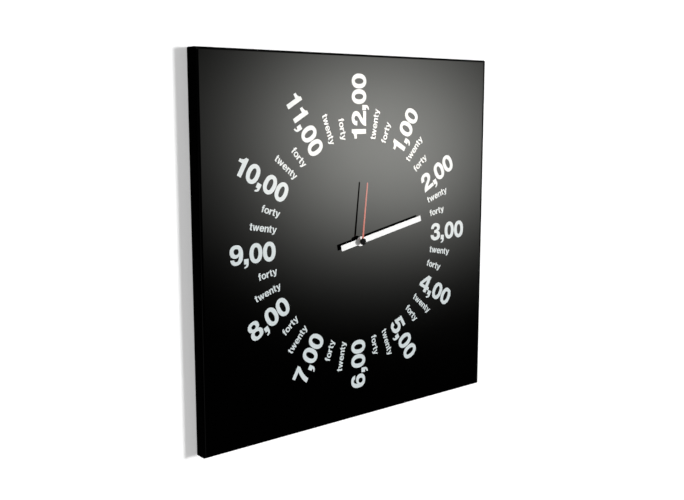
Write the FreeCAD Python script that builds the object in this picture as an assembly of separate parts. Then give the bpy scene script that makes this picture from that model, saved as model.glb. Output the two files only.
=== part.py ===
import FreeCAD, Part
import math
import os
from FreeCAD import Vector

# Square wall clock with a printed word dial: a folded sheet-steel panel, one hour
# hand, one second hand and a battery quartz movement with its whole gear train.
#
# Everything is built face up on a bench and stood up when it is written:
#   bench x = right, bench y = towards 12 o'clock, bench z = out of the dial,
#   z = 0 is the wall plane, and x = y = 0 is the axis of the hands.
# Written frame: +X right, +Z up, +Y into the wall, origin on the wall plane at
# the axis of the hands.  "depth" is measured from the front of the movement
# towards the wall.  All sizes are in millimetres.

os.makedirs("parts", exist_ok=True)

# ---- Driving sizes ---------------------------------------------------------

# Folded front panel
panel_size = 500.0          # width and height
panel_depth = 20.0          # dial face to wall
sheet = 1.2                 # steel thickness
bend_radius = 3.0           # outside radius of each fold
corner_radius = 1.2         # ground weld at the four corners, seen from the front
flange_width = 24.0         # return flange that lies on the wall
mitre_gap = 0.5             # joint between two flanges
mitre_land = 6.0            # metal left whole outside each mitre

# Hanging keyholes in the upper flange
keyhole_pitch = 300.0       # centre to centre
keyhole_entry_radius = 4.5  # lets a screw head in
keyhole_slot_width = 4.5    # holds the screw shank
keyhole_rise = 7.5          # entry centre to the centre of the slot's round end
keyhole_land = 3.5          # metal between the entry and the flange's free edge

# Running and loose clearances, radial
fit = 0.05                  # shaft in its bore
loose = 0.2                 # bush in the panel's hole, pegs in their holes
layer_gap = 0.4             # between two wheels that pass each other

# Working lengths of the shapes that join and cut
bite = 0.1                  # how far two joined shapes run into each other
past = 1.0                  # how far a cutter runs past a face

# Coaxial stack at the centre
second_arbor_radius = 0.5
minute_pipe_wall = 1.2
hour_pipe_wall = 0.7
bush_wall = 1.45
bush_head_width = 1.5       # flange moulded into the case floor
bush_head_thickness = 0.7
bush_end = 0.5              # thread left free beyond the nut
washer_width = 1.7
washer_thickness = 0.3
nut_width = 1.5
nut_thickness = 1.5
nut_slots = 4
nut_slot_width = 1.4
nut_slot_depth = 0.7
rubber_washer_width = 7.0
rubber_washer_thickness = 0.5

# Hands
hour_reach = 116.0          # axis to tip
hour_tail = 34.8            # axis to tail end
hour_width = 8.0
hour_thickness = 0.6
hour_boss_radius = 6.7
hour_height = 4.0           # dial face to the underside of the blade
hour_angle = 78.5           # degrees clockwise from 12
hour_collet_wall = 1.0
hour_collet_lip = 1.0       # wider rim under the blade
hour_collet_lip_height = 0.6
hour_pipe_proud = 0.3
minute_pipe_height = 7.1    # dial face to the end of the pipe
second_reach = 80.0
second_width = 3.0
second_tip_width = 2.0
second_thickness = 0.4
second_hub_radius = 2.4
second_gap = 1.0            # pipe end to the underside of the needle
second_angle = 6.0          # degrees clockwise from 12
cap_radius = 4.4
cap_height = 2.4
cap_edge = 0.35             # rounded rim of the cap
cap_roof = 0.6              # plastic left above the arbor

# Movement housing
case_corner = 3.0
case_wall = 1.2
cover_thickness = 1.2
snap_width = 5.0
snap_thickness = 1.0
snap_length = 6.5
snap_gap = 0.1
snap_window = 2.0
snap_window_margin = 1.0
snap_lug = 0.8
snap_upper = 17.0           # centre line to the upper arms
snap_lower = 1.0            # battery bay to the lower arms

# Battery and its bay
battery_diameter = 14.2
battery_length = 50.2
battery_nub_radius = 2.75
battery_nub_height = 1.2
battery_edge = 0.6
bay_clearance = 0.3
contact_thickness = 0.3
contact_width = 3.0
contact_blade = 7.0
contact_tongue_half = 4.0   # half length of the sprung tongue
contact_crest_half = 1.3    # half length of its flat crest
contact_room = 1.4          # strip to battery end, each side
contact_touch = 0.1         # air between tongue and battery end

# Wheels
teeth_rotor, teeth_intermediate = 10, 60
teeth_intermediate_pinion, teeth_second = 12, 60
teeth_second_pinion, teeth_third = 8, 60
teeth_third_pinion, teeth_centre = 8, 64
teeth_cannon, teeth_motion = 10, 30
teeth_motion_pinion, teeth_hour = 8, 32
teeth_setting = 12
module_rotor = 0.20
module_second = 0.26
module_centre = 0.30
module_motion = 0.40
tooth_share = 0.44          # width of a tooth at the pitch circle, of the pitch
addendum = 0.8              # in modules
dedendum = 1.1              # in modules
pressure_angle = 20.0
wheel_thickness = 1.0
thin_wheel = 0.8
pinion_overlap = 0.1        # a pinion stands this much past its wheel, each side
pivot_radius = 0.4
pivot_length = 1.0
pivot_shoulder = 0.2
shaft_radius = 0.75
post_radius = 1.4
peg_radius = 0.7
pivot_post_radius = 1.3
motion_post_radius = 0.6

# Directions between axes, degrees anticlockwise from 3 o'clock, seen from the front
third_angle = 120.0
motion_angle = 190.0
setting_angle = 185.0
intermediate_angle = 15.0
rotor_angle = 0.0

# Bridge, motor and electronics
bridge_thickness = 1.0
bridge_margin = 2.8
bridge_supports = ((-14.0, 10.5), (19.5, 10.5), (12.5, -7.4))
wheel_clearance = 0.96      # largest wheel to the wall of the battery bay
magnet_radius = 3.0
magnet_length = 2.4
magnet_gap = 0.35           # magnet to stator
stator_thickness = 0.8
stator_ring = 2.0
stator_leg = 3.0
stator_lift = 1.2           # above the bridge
coil_rise = 16.6            # rotor's axis to the coil's axis
coil_shift = 1.1            # coil's middle, to the left of the rotor's axis
coil_length = 11.4
coil_radius = 3.0
bobbin_flange = 0.5
bobbin_lip = 0.4
bobbin_wall = 0.4
core_width = 2.6
core_overhang = 3.0
board_width = 17.4
board_height = 12.2
board_thickness = 0.8
board_pegs = ((2.9, 2.3), (13.9, 9.5))     # from its lower left corner
crystal_inset = 4.0         # board's lower edge to the crystal's axis
crystal_radius = 1.0
crystal_length = 6.0
chip_inset = 8.8            # board's lower edge to the chip's centre
chip_radius = 2.2
chip_height = 0.8

# Setting knob
spindle_radius = 1.2
spindle_pin_radius = 0.6
knob_radius = 4.8
knob_height = 1.7
knob_roof = 0.7             # plastic left behind the spindle's end
knob_gap = 0.3
knob_flutes = 12
knob_flute_radius = 0.7
knob_flute_offset = 0.2     # centre of a flute, outside the knob's rim


def away(start, distance, direction):
    """Point at a distance and direction (degrees) from another."""
    turn = math.radians(direction)
    return (start[0] + distance * math.cos(turn), start[1] + distance * math.sin(turn))


def centre_distance(module, teeth_a, teeth_b):
    """Distance between the axes of two wheels in mesh."""
    return module * (teeth_a + teeth_b) / 2


def root_of(teeth, module):
    """Radius of the material under a pinion's teeth."""
    return module * (teeth / 2 - dedendum)


def tip_of(teeth, module):
    """Radius over a wheel's teeth."""
    return module * (teeth / 2 + addendum)


# ---- Sizes that follow -----------------------------------------------------

half_panel = panel_size / 2
panel_back = panel_depth - sheet
case_front = panel_back - rubber_washer_thickness
inner_case = battery_length / 2 + contact_room + contact_thickness
half_case = inner_case + case_wall

minute_pipe_radius = second_arbor_radius + fit + minute_pipe_wall
hour_pipe_bore = minute_pipe_radius + fit
hour_pipe_radius = hour_pipe_bore + hour_pipe_wall
bush_bore = hour_pipe_radius + fit
bush_radius = bush_bore + bush_wall
panel_hole_radius = bush_radius + loose

washer_top = panel_depth + washer_thickness
nut_top = washer_top + nut_thickness
bush_top = nut_top + bush_end
hour_blade_z = panel_depth + hour_height
hour_pipe_top = hour_blade_z + hour_thickness + hour_pipe_proud
minute_pipe_top = panel_depth + minute_pipe_height
second_z = minute_pipe_top + second_gap
cap_z = second_z + second_thickness
arbor_top = cap_z + cap_height - cap_roof

battery_radius = battery_diameter / 2
battery_depth = case_wall + bay_clearance + battery_radius
case_depth = battery_depth + battery_radius + bay_clearance
case_rear = case_front - case_depth
cover_depth = case_depth - cover_thickness
gear_floor = -tip_of(teeth_centre, module_centre) - wheel_clearance
bay_top = gear_floor - case_wall
battery_y = bay_top - bay_clearance - battery_radius
bay_floor = battery_y - battery_radius - bay_clearance
case_bottom = bay_floor - case_wall
tongue_height = contact_room - contact_touch

hour_wheel_depth = case_wall + layer_gap
motion_depth = hour_wheel_depth + wheel_thickness + layer_gap
centre_depth = motion_depth + wheel_thickness + pinion_overlap + layer_gap
bridge_depth = centre_depth + wheel_thickness + pinion_overlap + layer_gap
bridge_top = bridge_depth + bridge_thickness
third_depth = bridge_top + pinion_overlap + layer_gap
second_depth = third_depth + wheel_thickness + pinion_overlap + layer_gap
intermediate_depth = second_depth + thin_wheel + pinion_overlap + layer_gap
stator_depth = bridge_top + stator_lift
core_depth = stator_depth + stator_thickness
coil_depth = core_depth + stator_thickness / 2
magnet_depth = stator_depth + (stator_thickness - magnet_length) / 2
board_depth = core_depth + stator_thickness + layer_gap
shaft_end = cover_depth - pivot_length - pivot_shoulder

centre_axis = (0.0, 0.0)
third_distance = centre_distance(module_centre, teeth_third_pinion, teeth_centre)
module_third = 2 * third_distance / (teeth_second_pinion + teeth_third)
third_axis = away(centre_axis, third_distance, third_angle)
motion_distance = centre_distance(module_motion, teeth_cannon, teeth_motion)
module_hour = 2 * motion_distance / (teeth_motion_pinion + teeth_hour)
motion_axis = away(centre_axis, motion_distance, motion_angle)
setting_axis = away(
    motion_axis, centre_distance(module_motion, teeth_motion, teeth_setting), setting_angle
)
intermediate_axis = away(
    centre_axis,
    centre_distance(module_second, teeth_second, teeth_intermediate_pinion),
    intermediate_angle,
)
rotor_axis = away(
    intermediate_axis,
    centre_distance(module_rotor, teeth_intermediate, teeth_rotor),
    rotor_angle,
)
coil_centre = (rotor_axis[0] - coil_shift, rotor_axis[1] + coil_rise)
board_corner = (contact_thickness - inner_case, inner_case - contact_thickness - board_height)
board_posts = [(board_corner[0] + x, board_corner[1] + y) for x, y in board_pegs]

# ---- Building blocks -------------------------------------------------------


def cylinder(axis, z_low, height, radius):
    """Upright cylinder on an axis (x, y)."""
    return Part.makeCylinder(radius, height, Vector(axis[0], axis[1], z_low))


def tube(axis, z_low, height, radius, bore):
    """Upright cylinder with a through bore."""
    return cylinder(axis, z_low, height, radius).cut(cylinder(axis, z_low, height, bore))


def block(x_low, x_high, y_low, y_high, z_low, z_high):
    """Box between two corners."""
    size = (x_high - x_low, y_high - y_low, z_high - z_low)
    return Part.makeBox(*size, Vector(x_low, y_low, z_low))


def side_block(side, near, far, y_low, y_high, z_low, z_high):
    """Box on the left (-1) or right (1), between two distances from the middle."""
    x_low, x_high = sorted((side * near, side * far))
    return block(x_low, x_high, y_low, y_high, z_low, z_high)


def drill(axis, z_low, z_high, radius):
    """Cutter for a round hole that runs past both heights."""
    return cylinder(axis, z_low - past, z_high - z_low + 2 * past, radius)


def prism(points, z_low, height):
    """Upright prism over a closed outline of (x, y) points."""
    loop = [Vector(x, y, z_low) for x, y in points]
    face = Part.Face(Part.makePolygon(loop + [loop[0]]))
    return face.extrude(Vector(0, 0, height))


def level(depth, thickness):
    """Lower z of a layer that starts at a depth behind the movement's front."""
    return case_front - depth - thickness


def joined(first, *others):
    """One solid out of several that touch."""
    return first.multiFuse(list(others)).removeSplitter()


def without(body, *tools):
    """A solid with others cut out of it."""
    return body.cut(Part.makeCompound(list(tools)))


def upright_edges(shape, y_from=-math.inf):
    """Edges along z, on the side of the shape beyond y_from."""
    found = []
    for edge in shape.Edges:
        box = edge.BoundBox
        if box.XLength < 1e-6 and box.YLength < 1e-6 and box.YMin > y_from:
            found.append(edge)
    return found


def level_edges(shape, z):
    """Edges that lie flat at a height z."""
    found = []
    for edge in shape.Edges:
        box = edge.BoundBox
        if abs(box.ZMin - z) < 1e-6 and abs(box.ZMax - z) < 1e-6:
            found.append(edge)
    return found


def partner_phase(phase, teeth, partner_teeth, direction):
    """Phase of a wheel that meshes with another one lying in a direction.

    A phase is the direction, in radians, of one tooth's centre line.
    """
    offset = (direction - phase) * teeth / (2 * math.pi)
    return direction + math.pi - (0.5 - offset) * 2 * math.pi / partner_teeth


def toothed(teeth, module, axis, z_low, thickness, phase):
    """Spur wheel without a bore: straight flanks, radial below the base circle."""
    pitch_radius = module * teeth / 2
    tip_radius = pitch_radius + addendum * module
    root_radius = pitch_radius - dedendum * module
    slope = math.tan(math.radians(pressure_angle)) / pitch_radius
    base_radius = pitch_radius * math.cos(math.radians(pressure_angle))
    at_pitch = tooth_share * math.pi / teeth
    at_tip = at_pitch - slope * (tip_radius - pitch_radius)
    at_root = at_pitch + slope * (pitch_radius - max(root_radius, base_radius))
    outline = []
    for tooth in range(teeth):
        middle = phase + 2 * math.pi * tooth / teeth
        for radius, turn in (
            (root_radius, -at_root),
            (tip_radius, -at_tip),
            (tip_radius, at_tip),
            (root_radius, at_root),
        ):
            outline.append(
                (
                    axis[0] + radius * math.cos(middle + turn),
                    axis[1] + radius * math.sin(middle + turn),
                )
            )
    return prism(outline, z_low, thickness)


def direction_of(start, end):
    """Direction in radians from one axis to another."""
    return math.atan2(end[1] - start[1], end[0] - start[0])


def wheel_at(depth, thickness, teeth, module, axis, phase):
    """Toothed wheel in the layer that starts at a depth."""
    return toothed(teeth, module, axis, level(depth, thickness), thickness, phase)


def pinion_at(depth, thickness, teeth, module, axis, phase):
    """Pinion that stands past both faces of the wheel it meshes with."""
    length = thickness + 2 * pinion_overlap
    return toothed(teeth, module, axis, level(depth - pinion_overlap, length), length, phase)


def between(axis, front_depth, rear_depth, radius):
    """Cylinder between two depths."""
    return cylinder(axis, level(rear_depth, 0), rear_depth - front_depth, radius)

# ---- Phases of the teeth, at rest ------------------------------------------

to_intermediate = direction_of(centre_axis, intermediate_axis)
to_rotor = direction_of(intermediate_axis, rotor_axis)
to_third = direction_of(centre_axis, third_axis)
to_motion = direction_of(centre_axis, motion_axis)
to_setting = direction_of(motion_axis, setting_axis)

phase_second = to_intermediate
phase_intermediate_pinion = partner_phase(
    phase_second, teeth_second, teeth_intermediate_pinion, to_intermediate
)
phase_intermediate = to_rotor
phase_rotor = partner_phase(phase_intermediate, teeth_intermediate, teeth_rotor, to_rotor)
phase_second_pinion = to_third
phase_third = partner_phase(phase_second_pinion, teeth_second_pinion, teeth_third, to_third)
phase_centre = to_third
phase_third_pinion = partner_phase(phase_centre, teeth_centre, teeth_third_pinion, to_third)
phase_hour = to_motion
phase_motion_pinion = partner_phase(phase_hour, teeth_hour, teeth_motion_pinion, to_motion)
phase_cannon = to_motion
phase_motion = partner_phase(phase_cannon, teeth_cannon, teeth_motion, to_motion)
phase_setting = partner_phase(phase_motion, teeth_motion, teeth_setting, to_setting)

# ---- Front panel -----------------------------------------------------------


def rounded_slab(half, z_low, z_high, fold, corner):
    """Square slab with rounded folds front and back and rounded corners."""
    slab = block(-half, half, -half, half, z_low, z_high)
    slab = slab.makeFillet(corner, upright_edges(slab))
    rims = level_edges(slab, z_low) + level_edges(slab, z_high)
    return slab.makeFillet(fold, rims)


def keyhole(x):
    """Cutter for one hanging keyhole in the upper flange."""
    entry_y = half_panel - flange_width + keyhole_land + keyhole_entry_radius
    slot_y = entry_y + keyhole_rise
    half = keyhole_slot_width / 2
    entry = drill((x, entry_y), 0, sheet, keyhole_entry_radius)
    slot_end = drill((x, slot_y), 0, sheet, half)
    slot = block(x - half, x + half, entry_y, slot_y, -past, sheet + past)
    return joined(entry, slot, slot_end)


def mitre(quarter):
    """Cutter for the joint between two flanges, at one corner."""
    start = (half_panel - flange_width) * math.sqrt(2) - mitre_gap
    end = (half_panel - mitre_land) * math.sqrt(2)
    cutter = block(start, end, -mitre_gap / 2, mitre_gap / 2, -past, sheet + past)
    cutter.rotate(Vector(0, 0, 0), Vector(0, 0, 1), 45 + 90 * quarter)
    return cutter


def front_panel():
    """Folded steel tray: dial face, four sides, four return flanges."""
    inner_fold = max(bend_radius - sheet, sheet / 4)
    outside = rounded_slab(half_panel, 0, panel_depth, bend_radius, corner_radius)
    inside = rounded_slab(half_panel - sheet, sheet, panel_back, inner_fold, inner_fold)
    mouth_half = half_panel - flange_width
    mouth = block(-mouth_half, mouth_half, -mouth_half, mouth_half, -past, sheet + past)
    bush_hole = drill(centre_axis, panel_back, panel_depth, panel_hole_radius)
    keyholes = [keyhole(side * keyhole_pitch / 2) for side in (-1, 1)]
    mitres = [mitre(quarter) for quarter in range(4)]
    return without(outside, inside, mouth, bush_hole, *keyholes, *mitres)


# ---- Parts that clamp the movement -----------------------------------------


def rubber_washer():
    """Soft ring between the movement and the back of the panel."""
    outer = bush_radius + rubber_washer_width
    return tube(centre_axis, case_front, rubber_washer_thickness, outer, bush_radius + loose)


def flat_washer():
    """Thin ring on the dial face."""
    return tube(
        centre_axis, panel_depth, washer_thickness, bush_radius + washer_width, bush_radius + loose
    )


def bush_nut():
    """Low round nut with spanner slots, screwed onto the bush."""
    outer = bush_radius + nut_width
    nut = tube(centre_axis, washer_top, nut_thickness, outer, bush_radius)
    half = nut_slot_width / 2
    slots = []
    for number in range(nut_slots):
        slot = block(outer - nut_slot_depth, outer + past, -half, half, washer_top, nut_top)
        slot.rotate(Vector(0, 0, 0), Vector(0, 0, 1), 360.0 * (number + 0.5) / nut_slots)
        slots.append(slot)
    return without(nut, *slots)


def bush_head():
    """Head of the bush, inside the case floor."""
    foot = case_front - case_wall
    return cylinder(centre_axis, foot, bush_head_thickness, bush_radius + bush_head_width)


def threaded_bush():
    """Brass bush held in the case floor by its head."""
    foot = case_front - case_wall
    barrel = cylinder(centre_axis, foot, bush_top - foot, bush_radius)
    return without(joined(bush_head(), barrel), drill(centre_axis, foot, bush_top, bush_bore))


# ---- Movement housing ------------------------------------------------------


def snap_positions():
    """Side (-1 left, 1 right) and y of each snap arm of the rear cover."""
    return [(side, y) for side in (-1, 1) for y in (snap_upper, bay_top + snap_lower)]


def snap_window_span():
    """Lower and upper z of the window in each snap arm."""
    top = case_rear + snap_length - snap_window_margin
    return top - snap_window, top


def floor_post(axis, top_depth, radius):
    """Post on the inside of the case floor, up to a depth."""
    return between(axis, case_wall - bite, top_depth, radius)


def pegged_post(axis, seat_depth, peg_depth):
    """Post with a shoulder that carries a plate and a peg that goes through it."""
    return [floor_post(axis, seat_depth, post_radius), floor_post(axis, peg_depth, peg_radius)]


def stator_legs():
    """Axes of the two pegs that hold the stator and the coil's core."""
    reach = coil_length / 2 + core_overhang / 2
    return [(coil_centre[0] + side * reach, coil_centre[1]) for side in (-1, 1)]


def blind_bore(axis, from_depth, radius):
    """Cutter for the bearing of a pivot in a post of the case floor."""
    return cylinder(axis, level(from_depth, 0) - past, pivot_length + fit + past, radius + fit)


def front_case():
    """Front half of the movement: floor, walls, battery bay and posts."""
    low, floor = level(cover_depth, 0), case_front - case_wall
    shell = block(-half_case, half_case, case_bottom, half_case, low, case_front)
    shell = shell.makeFillet(case_corner, upright_edges(shell))
    gear_room = block(-inner_case, inner_case, gear_floor, inner_case, low - past, floor)
    bay = block(-inner_case, inner_case, bay_floor, bay_top, low - past, floor)
    barrel = drill(centre_axis, floor, case_front, bush_radius)
    notch = contact_thickness + loose
    notch_top = low + contact_width + loose
    notches = [
        block(x, x + notch, bay_top - past, gear_floor + past, low - past, notch_top)
        for x in (-inner_case, inner_case - notch)
    ]
    body = without(shell, gear_room, bay, bush_head(), barrel, *notches)

    fittings = []
    for support in bridge_supports:
        fittings += pegged_post(support, bridge_depth, bridge_top)
    for leg in stator_legs():
        fittings += pegged_post(leg, stator_depth, core_depth + stator_thickness)
    for post in board_posts:
        fittings += pegged_post(post, board_depth, board_depth + board_thickness)
    motion_post_end = motion_depth + wheel_thickness + fit
    third_post_end = centre_depth - pinion_overlap - pivot_shoulder
    setting_post_end = motion_depth - pinion_overlap - pivot_shoulder
    fittings.append(floor_post(motion_axis, motion_post_end, motion_post_radius))
    fittings.append(floor_post(third_axis, third_post_end, pivot_post_radius))
    fittings.append(floor_post(setting_axis, setting_post_end, pivot_post_radius))
    lug_half = snap_width / 2 - snap_window_margin - loose
    lug_low, lug_high = snap_window_span()
    near, far = half_case - bite, half_case + snap_lug
    for side, y in snap_positions():
        lug = side_block(side, near, far, y - lug_half, y + lug_half, lug_low + loose, lug_high - loose)
        fittings.append(lug)
    return without(
        joined(body, *fittings),
        blind_bore(third_axis, third_post_end, pivot_radius),
        blind_bore(setting_axis, setting_post_end, spindle_pin_radius),
    )


def snap_arm(side, y):
    """Arm of the rear cover that springs over a lug of the case, with its root."""
    near, far = half_case + snap_gap, half_case + snap_gap + snap_thickness
    y_low, y_high = y - snap_width / 2, y + snap_width / 2
    arm = side_block(side, near, far, y_low, y_high, case_rear, case_rear + snap_length)
    inside = half_case - snap_thickness
    root = side_block(side, inside, far, y_low, y_high, case_rear, case_rear + cover_thickness)
    y_low, y_high = y_low + snap_window_margin, y_high - snap_window_margin
    window = side_block(side, near - past, far + past, y_low, y_high, *snap_window_span())
    return without(joined(arm, root), window)


def rear_cover():
    """Back of the movement above the battery, with bearings and snap arms."""
    inner_face = case_rear + cover_thickness
    plate = block(-half_case, half_case, bay_top, half_case, case_rear, inner_face)
    plate = plate.makeFillet(case_corner, upright_edges(plate, 0))
    bearings = {
        third_axis: pivot_radius,
        intermediate_axis: pivot_radius,
        rotor_axis: pivot_radius,
        centre_axis: second_arbor_radius,
    }
    bosses, bores = [], []
    for axis, radius in bearings.items():
        bosses.append(cylinder(axis, inner_face - bite, pivot_length + bite, pivot_post_radius))
        bore_low = level(shaft_end + pivot_length + fit, 0)
        bores.append(cylinder(axis, bore_low, cover_thickness + pivot_length, radius + fit))
    bores.append(drill(setting_axis, case_rear, inner_face, spindle_radius + fit))
    arms = [snap_arm(side, y) for side, y in snap_positions()]
    return without(joined(plate, *bosses, *arms), *bores)


def bridge_plate():
    """Plate between the motion work and the going train."""
    low, high = level(bridge_top, 0), level(bridge_depth, 0)
    loop = [Vector(x, y, low) for x, y in bridge_supports]
    outline = Part.Face(Part.makePolygon(loop + [loop[0]])).makeOffset2D(bridge_margin)
    plate = outline.extrude(Vector(0, 0, bridge_thickness))
    if plate.Volume < 0:
        plate.reverse()
    holes = [drill(support, low, high, peg_radius) for support in bridge_supports]
    pinion_way = tip_of(teeth_third_pinion, module_centre) + layer_gap
    holes.append(drill(third_axis, low, high, pinion_way))
    holes.append(drill(centre_axis, low, high, second_arbor_radius + fit))
    holes.append(drill(intermediate_axis, low, high, pivot_radius + fit))
    holes.append(drill(rotor_axis, low, high, pivot_radius + fit))
    pad_radius = stator_ring / 2
    pad_axis = away(rotor_axis, magnet_radius + magnet_gap + pad_radius, -90)
    pad = between(pad_axis, bridge_top - bite, stator_depth, pad_radius)
    return without(joined(plate, pad), *holes)


# ---- Motor and electronics -------------------------------------------------


def stator():
    """Soft-iron lamination: a ring around the magnet and two legs to the core."""
    low, high = level(core_depth, 0), level(stator_depth, 0)
    ring_radius = magnet_radius + magnet_gap + stator_ring
    left, right = stator_legs()
    half = stator_leg / 2
    foot_y = rotor_axis[1] + stator_ring
    head_y = coil_centre[1] + core_width / 2
    arms = [block(leg[0] - half, leg[0] + half, foot_y, head_y, low, high) for leg in (left, right)]
    yoke_top = rotor_axis[1] + ring_radius
    yoke = block(left[0] - half, right[0] + half, foot_y, yoke_top, low, high)
    ring = cylinder(rotor_axis, low, stator_thickness, ring_radius)
    pinion_way = tip_of(teeth_intermediate_pinion, module_second) + layer_gap
    keep_off = drill(intermediate_axis, low, high, pinion_way)
    rotor_hole = drill(rotor_axis, low, high, magnet_radius + magnet_gap)
    pegs = [drill(leg, low, high, peg_radius) for leg in (left, right)]
    return without(joined(ring, yoke, *arms), rotor_hole, keep_off, *pegs)


def coil_core():
    """Flat iron bar through the bobbin, lying on the stator's legs."""
    low, high = level(core_depth + stator_thickness, 0), level(core_depth, 0)
    x, y = coil_centre
    half_length, half_width = coil_length / 2 + core_overhang, core_width / 2
    bar = block(x - half_length, x + half_length, y - half_width, y + half_width, low, high)
    return without(bar, *[drill(leg, low, high, peg_radius) for leg in stator_legs()])


def lying_cylinder(centre, length, radius, depth):
    """Cylinder along x about a centre (x, y) at a depth."""
    start = Vector(centre[0] - length / 2, centre[1], level(depth, 0))
    return Part.makeCylinder(radius, length, start, Vector(1, 0, 0))


def spool_block(x_half, grow):
    """Box about the core, larger than it by a wall, over a half length."""
    x, y, z = coil_centre[0], coil_centre[1], level(coil_depth, 0)
    y_half = core_width / 2 + grow
    z_half = stator_thickness / 2 + grow
    return block(x - x_half, x + x_half, y - y_half, y + y_half, z - z_half, z + z_half)


def coil_bobbin():
    """Plastic spool: a square tube with a flange at each end."""
    y, z = coil_centre[1], level(coil_depth, 0)
    half = coil_radius + bobbin_lip
    x_low, x_high = coil_centre[0] - coil_length / 2, coil_centre[0] + coil_length / 2
    flanges = [
        block(x, x + bobbin_flange, y - half, y + half, z - half, z + half)
        for x in (x_low, x_high - bobbin_flange)
    ]
    barrel = spool_block(coil_length / 2, bobbin_wall)
    return without(joined(barrel, *flanges), spool_block(coil_length, 0))


def coil_winding():
    """Copper winding on the bobbin."""
    length = coil_length - 2 * bobbin_flange
    winding = lying_cylinder(coil_centre, length, coil_radius, coil_depth)
    return winding.cut(spool_block(length, bobbin_wall))


def circuit_board():
    """Small board carrying the chip and the crystal."""
    x, y = board_corner
    low, high = level(board_depth + board_thickness, 0), level(board_depth, 0)
    board = block(x, x + board_width, y, y + board_height, low, high)
    return without(board, *[drill(post, low, high, peg_radius) for post in board_posts])


def quartz_crystal():
    """Metal can of the quartz crystal, lying on the board."""
    x, y = board_corner
    centre = (x + board_width / 2, y + crystal_inset)
    return lying_cylinder(
        centre, crystal_length, crystal_radius, board_depth + board_thickness + crystal_radius
    )


def clock_chip():
    """Drop of resin over the chip."""
    x, y = board_corner
    centre = (x + board_width / 2, y + chip_inset)
    low = level(board_depth + board_thickness + chip_height, 0)
    drop = cylinder(centre, low, chip_height, chip_radius)
    return drop.makeFillet(chip_height / 2, level_edges(drop, low))


def battery_contact(side):
    """Spring strip of one pole: a blade in the bay, a tongue and a riser."""
    wall, skin = inner_case, inner_case - contact_thickness
    z_axis = level(battery_depth, 0)
    half_blade = contact_blade / 2
    blade_low, blade_high = z_axis - half_blade, z_axis + half_blade
    y_low, y_high = battery_y - contact_blade, battery_y + contact_blade
    blade = side_block(side, wall, skin, y_low, y_high, blade_low, blade_high)

    crest = skin - tongue_height
    long_half, short_half = contact_tongue_half, contact_crest_half
    thick = contact_thickness
    outline = [
        (skin, battery_y - long_half),
        (crest, battery_y - short_half),
        (crest, battery_y + short_half),
        (skin, battery_y + long_half),
        (skin, battery_y + long_half - thick),
        (crest + thick, battery_y + short_half - thick),
        (crest + thick, battery_y - short_half + thick),
        (skin, battery_y - long_half + thick),
    ]
    tongue = prism([(side * x, y) for x, y in outline], blade_low, contact_blade)

    riser_low = level(cover_depth, 0)
    riser_high = riser_low + contact_width
    link = side_block(side, wall, skin, battery_y, bay_top, riser_low, z_axis)
    riser = side_block(side, wall, skin, bay_top - bite, inner_case, riser_low, riser_high)
    pieces = [tongue, link, riser]
    if side > 0:
        tab_start = board_corner[0] + board_width - contact_width
        pieces.append(block(tab_start, wall, skin, inner_case, riser_low, riser_high))
    return joined(blade, *pieces)


# ---- Battery ---------------------------------------------------------------


def battery_can():
    """Steel can of a size AA cell, lying along x with its flat end left."""
    length = battery_length - battery_nub_height
    centre = (-battery_nub_height / 2, battery_y)
    can = lying_cylinder(centre, length, battery_radius, battery_depth)
    rims = [e for e in can.Edges if isinstance(e.Curve, Part.Circle)]
    return can.makeFillet(battery_edge, rims)


def battery_cap():
    """Positive pole of the cell."""
    centre = (battery_length / 2 - battery_nub_height / 2, battery_y)
    return lying_cylinder(centre, battery_nub_height, battery_nub_radius, battery_depth)


# ---- Going train -----------------------------------------------------------


def pivoted_shaft(axis, front_depth, rear_depth, radius):
    """Shaft between two shoulders with a pivot at each end."""
    shaft = between(axis, front_depth, rear_depth, radius)
    front = between(axis, front_depth - pivot_length, front_depth + bite, pivot_radius)
    rear = between(axis, rear_depth - bite, rear_depth + pivot_length, pivot_radius)
    return joined(shaft, front, rear)


def second_arbor():
    """Steel arbor from the rear cover to the cap of the second hand."""
    low = level(shaft_end + pivot_length, 0)
    return cylinder(centre_axis, low, arbor_top - low, second_arbor_radius)


def second_wheel():
    """Wheel and pinion pressed on the second arbor."""
    wheel = wheel_at(
        second_depth, thin_wheel, teeth_second, module_second, centre_axis, phase_second
    )
    pinion = pinion_at(
        third_depth, wheel_thickness, teeth_second_pinion, module_third, centre_axis, phase_second_pinion
    )
    root = root_of(teeth_second_pinion, module_third)
    neck = between(centre_axis, third_depth + wheel_thickness, second_depth + bite, root)
    bore = drill(centre_axis, case_rear, case_front, second_arbor_radius)
    return without(joined(wheel, pinion, neck), bore)


def intermediate_wheel():
    """Wheel driven by the rotor, whose pinion drives the second wheel."""
    axis = intermediate_axis
    wheel = wheel_at(
        intermediate_depth, thin_wheel, teeth_intermediate, module_rotor, axis, phase_intermediate
    )
    pinion = pinion_at(
        second_depth,
        thin_wheel,
        teeth_intermediate_pinion,
        module_second,
        axis,
        phase_intermediate_pinion,
    )
    shaft = pivoted_shaft(axis, bridge_top + pivot_shoulder, shaft_end, shaft_radius)
    return joined(wheel, pinion, shaft)


def third_wheel():
    """Wheel driven by the second pinion, whose pinion drives the centre wheel."""
    wheel = wheel_at(
        third_depth, wheel_thickness, teeth_third, module_third, third_axis, phase_third
    )
    pinion = pinion_at(
        centre_depth, wheel_thickness, teeth_third_pinion, module_centre, third_axis, phase_third_pinion
    )
    shaft = pivoted_shaft(third_axis, centre_depth - pinion_overlap, shaft_end, shaft_radius)
    return joined(wheel, pinion, shaft)


def centre_wheel():
    """Wheel that grips the minute pipe through its slipping clutch."""
    wheel = wheel_at(
        centre_depth, wheel_thickness, teeth_centre, module_centre, centre_axis, phase_centre
    )
    return wheel.cut(drill(centre_axis, case_rear, case_front, minute_pipe_radius + fit))


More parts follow.
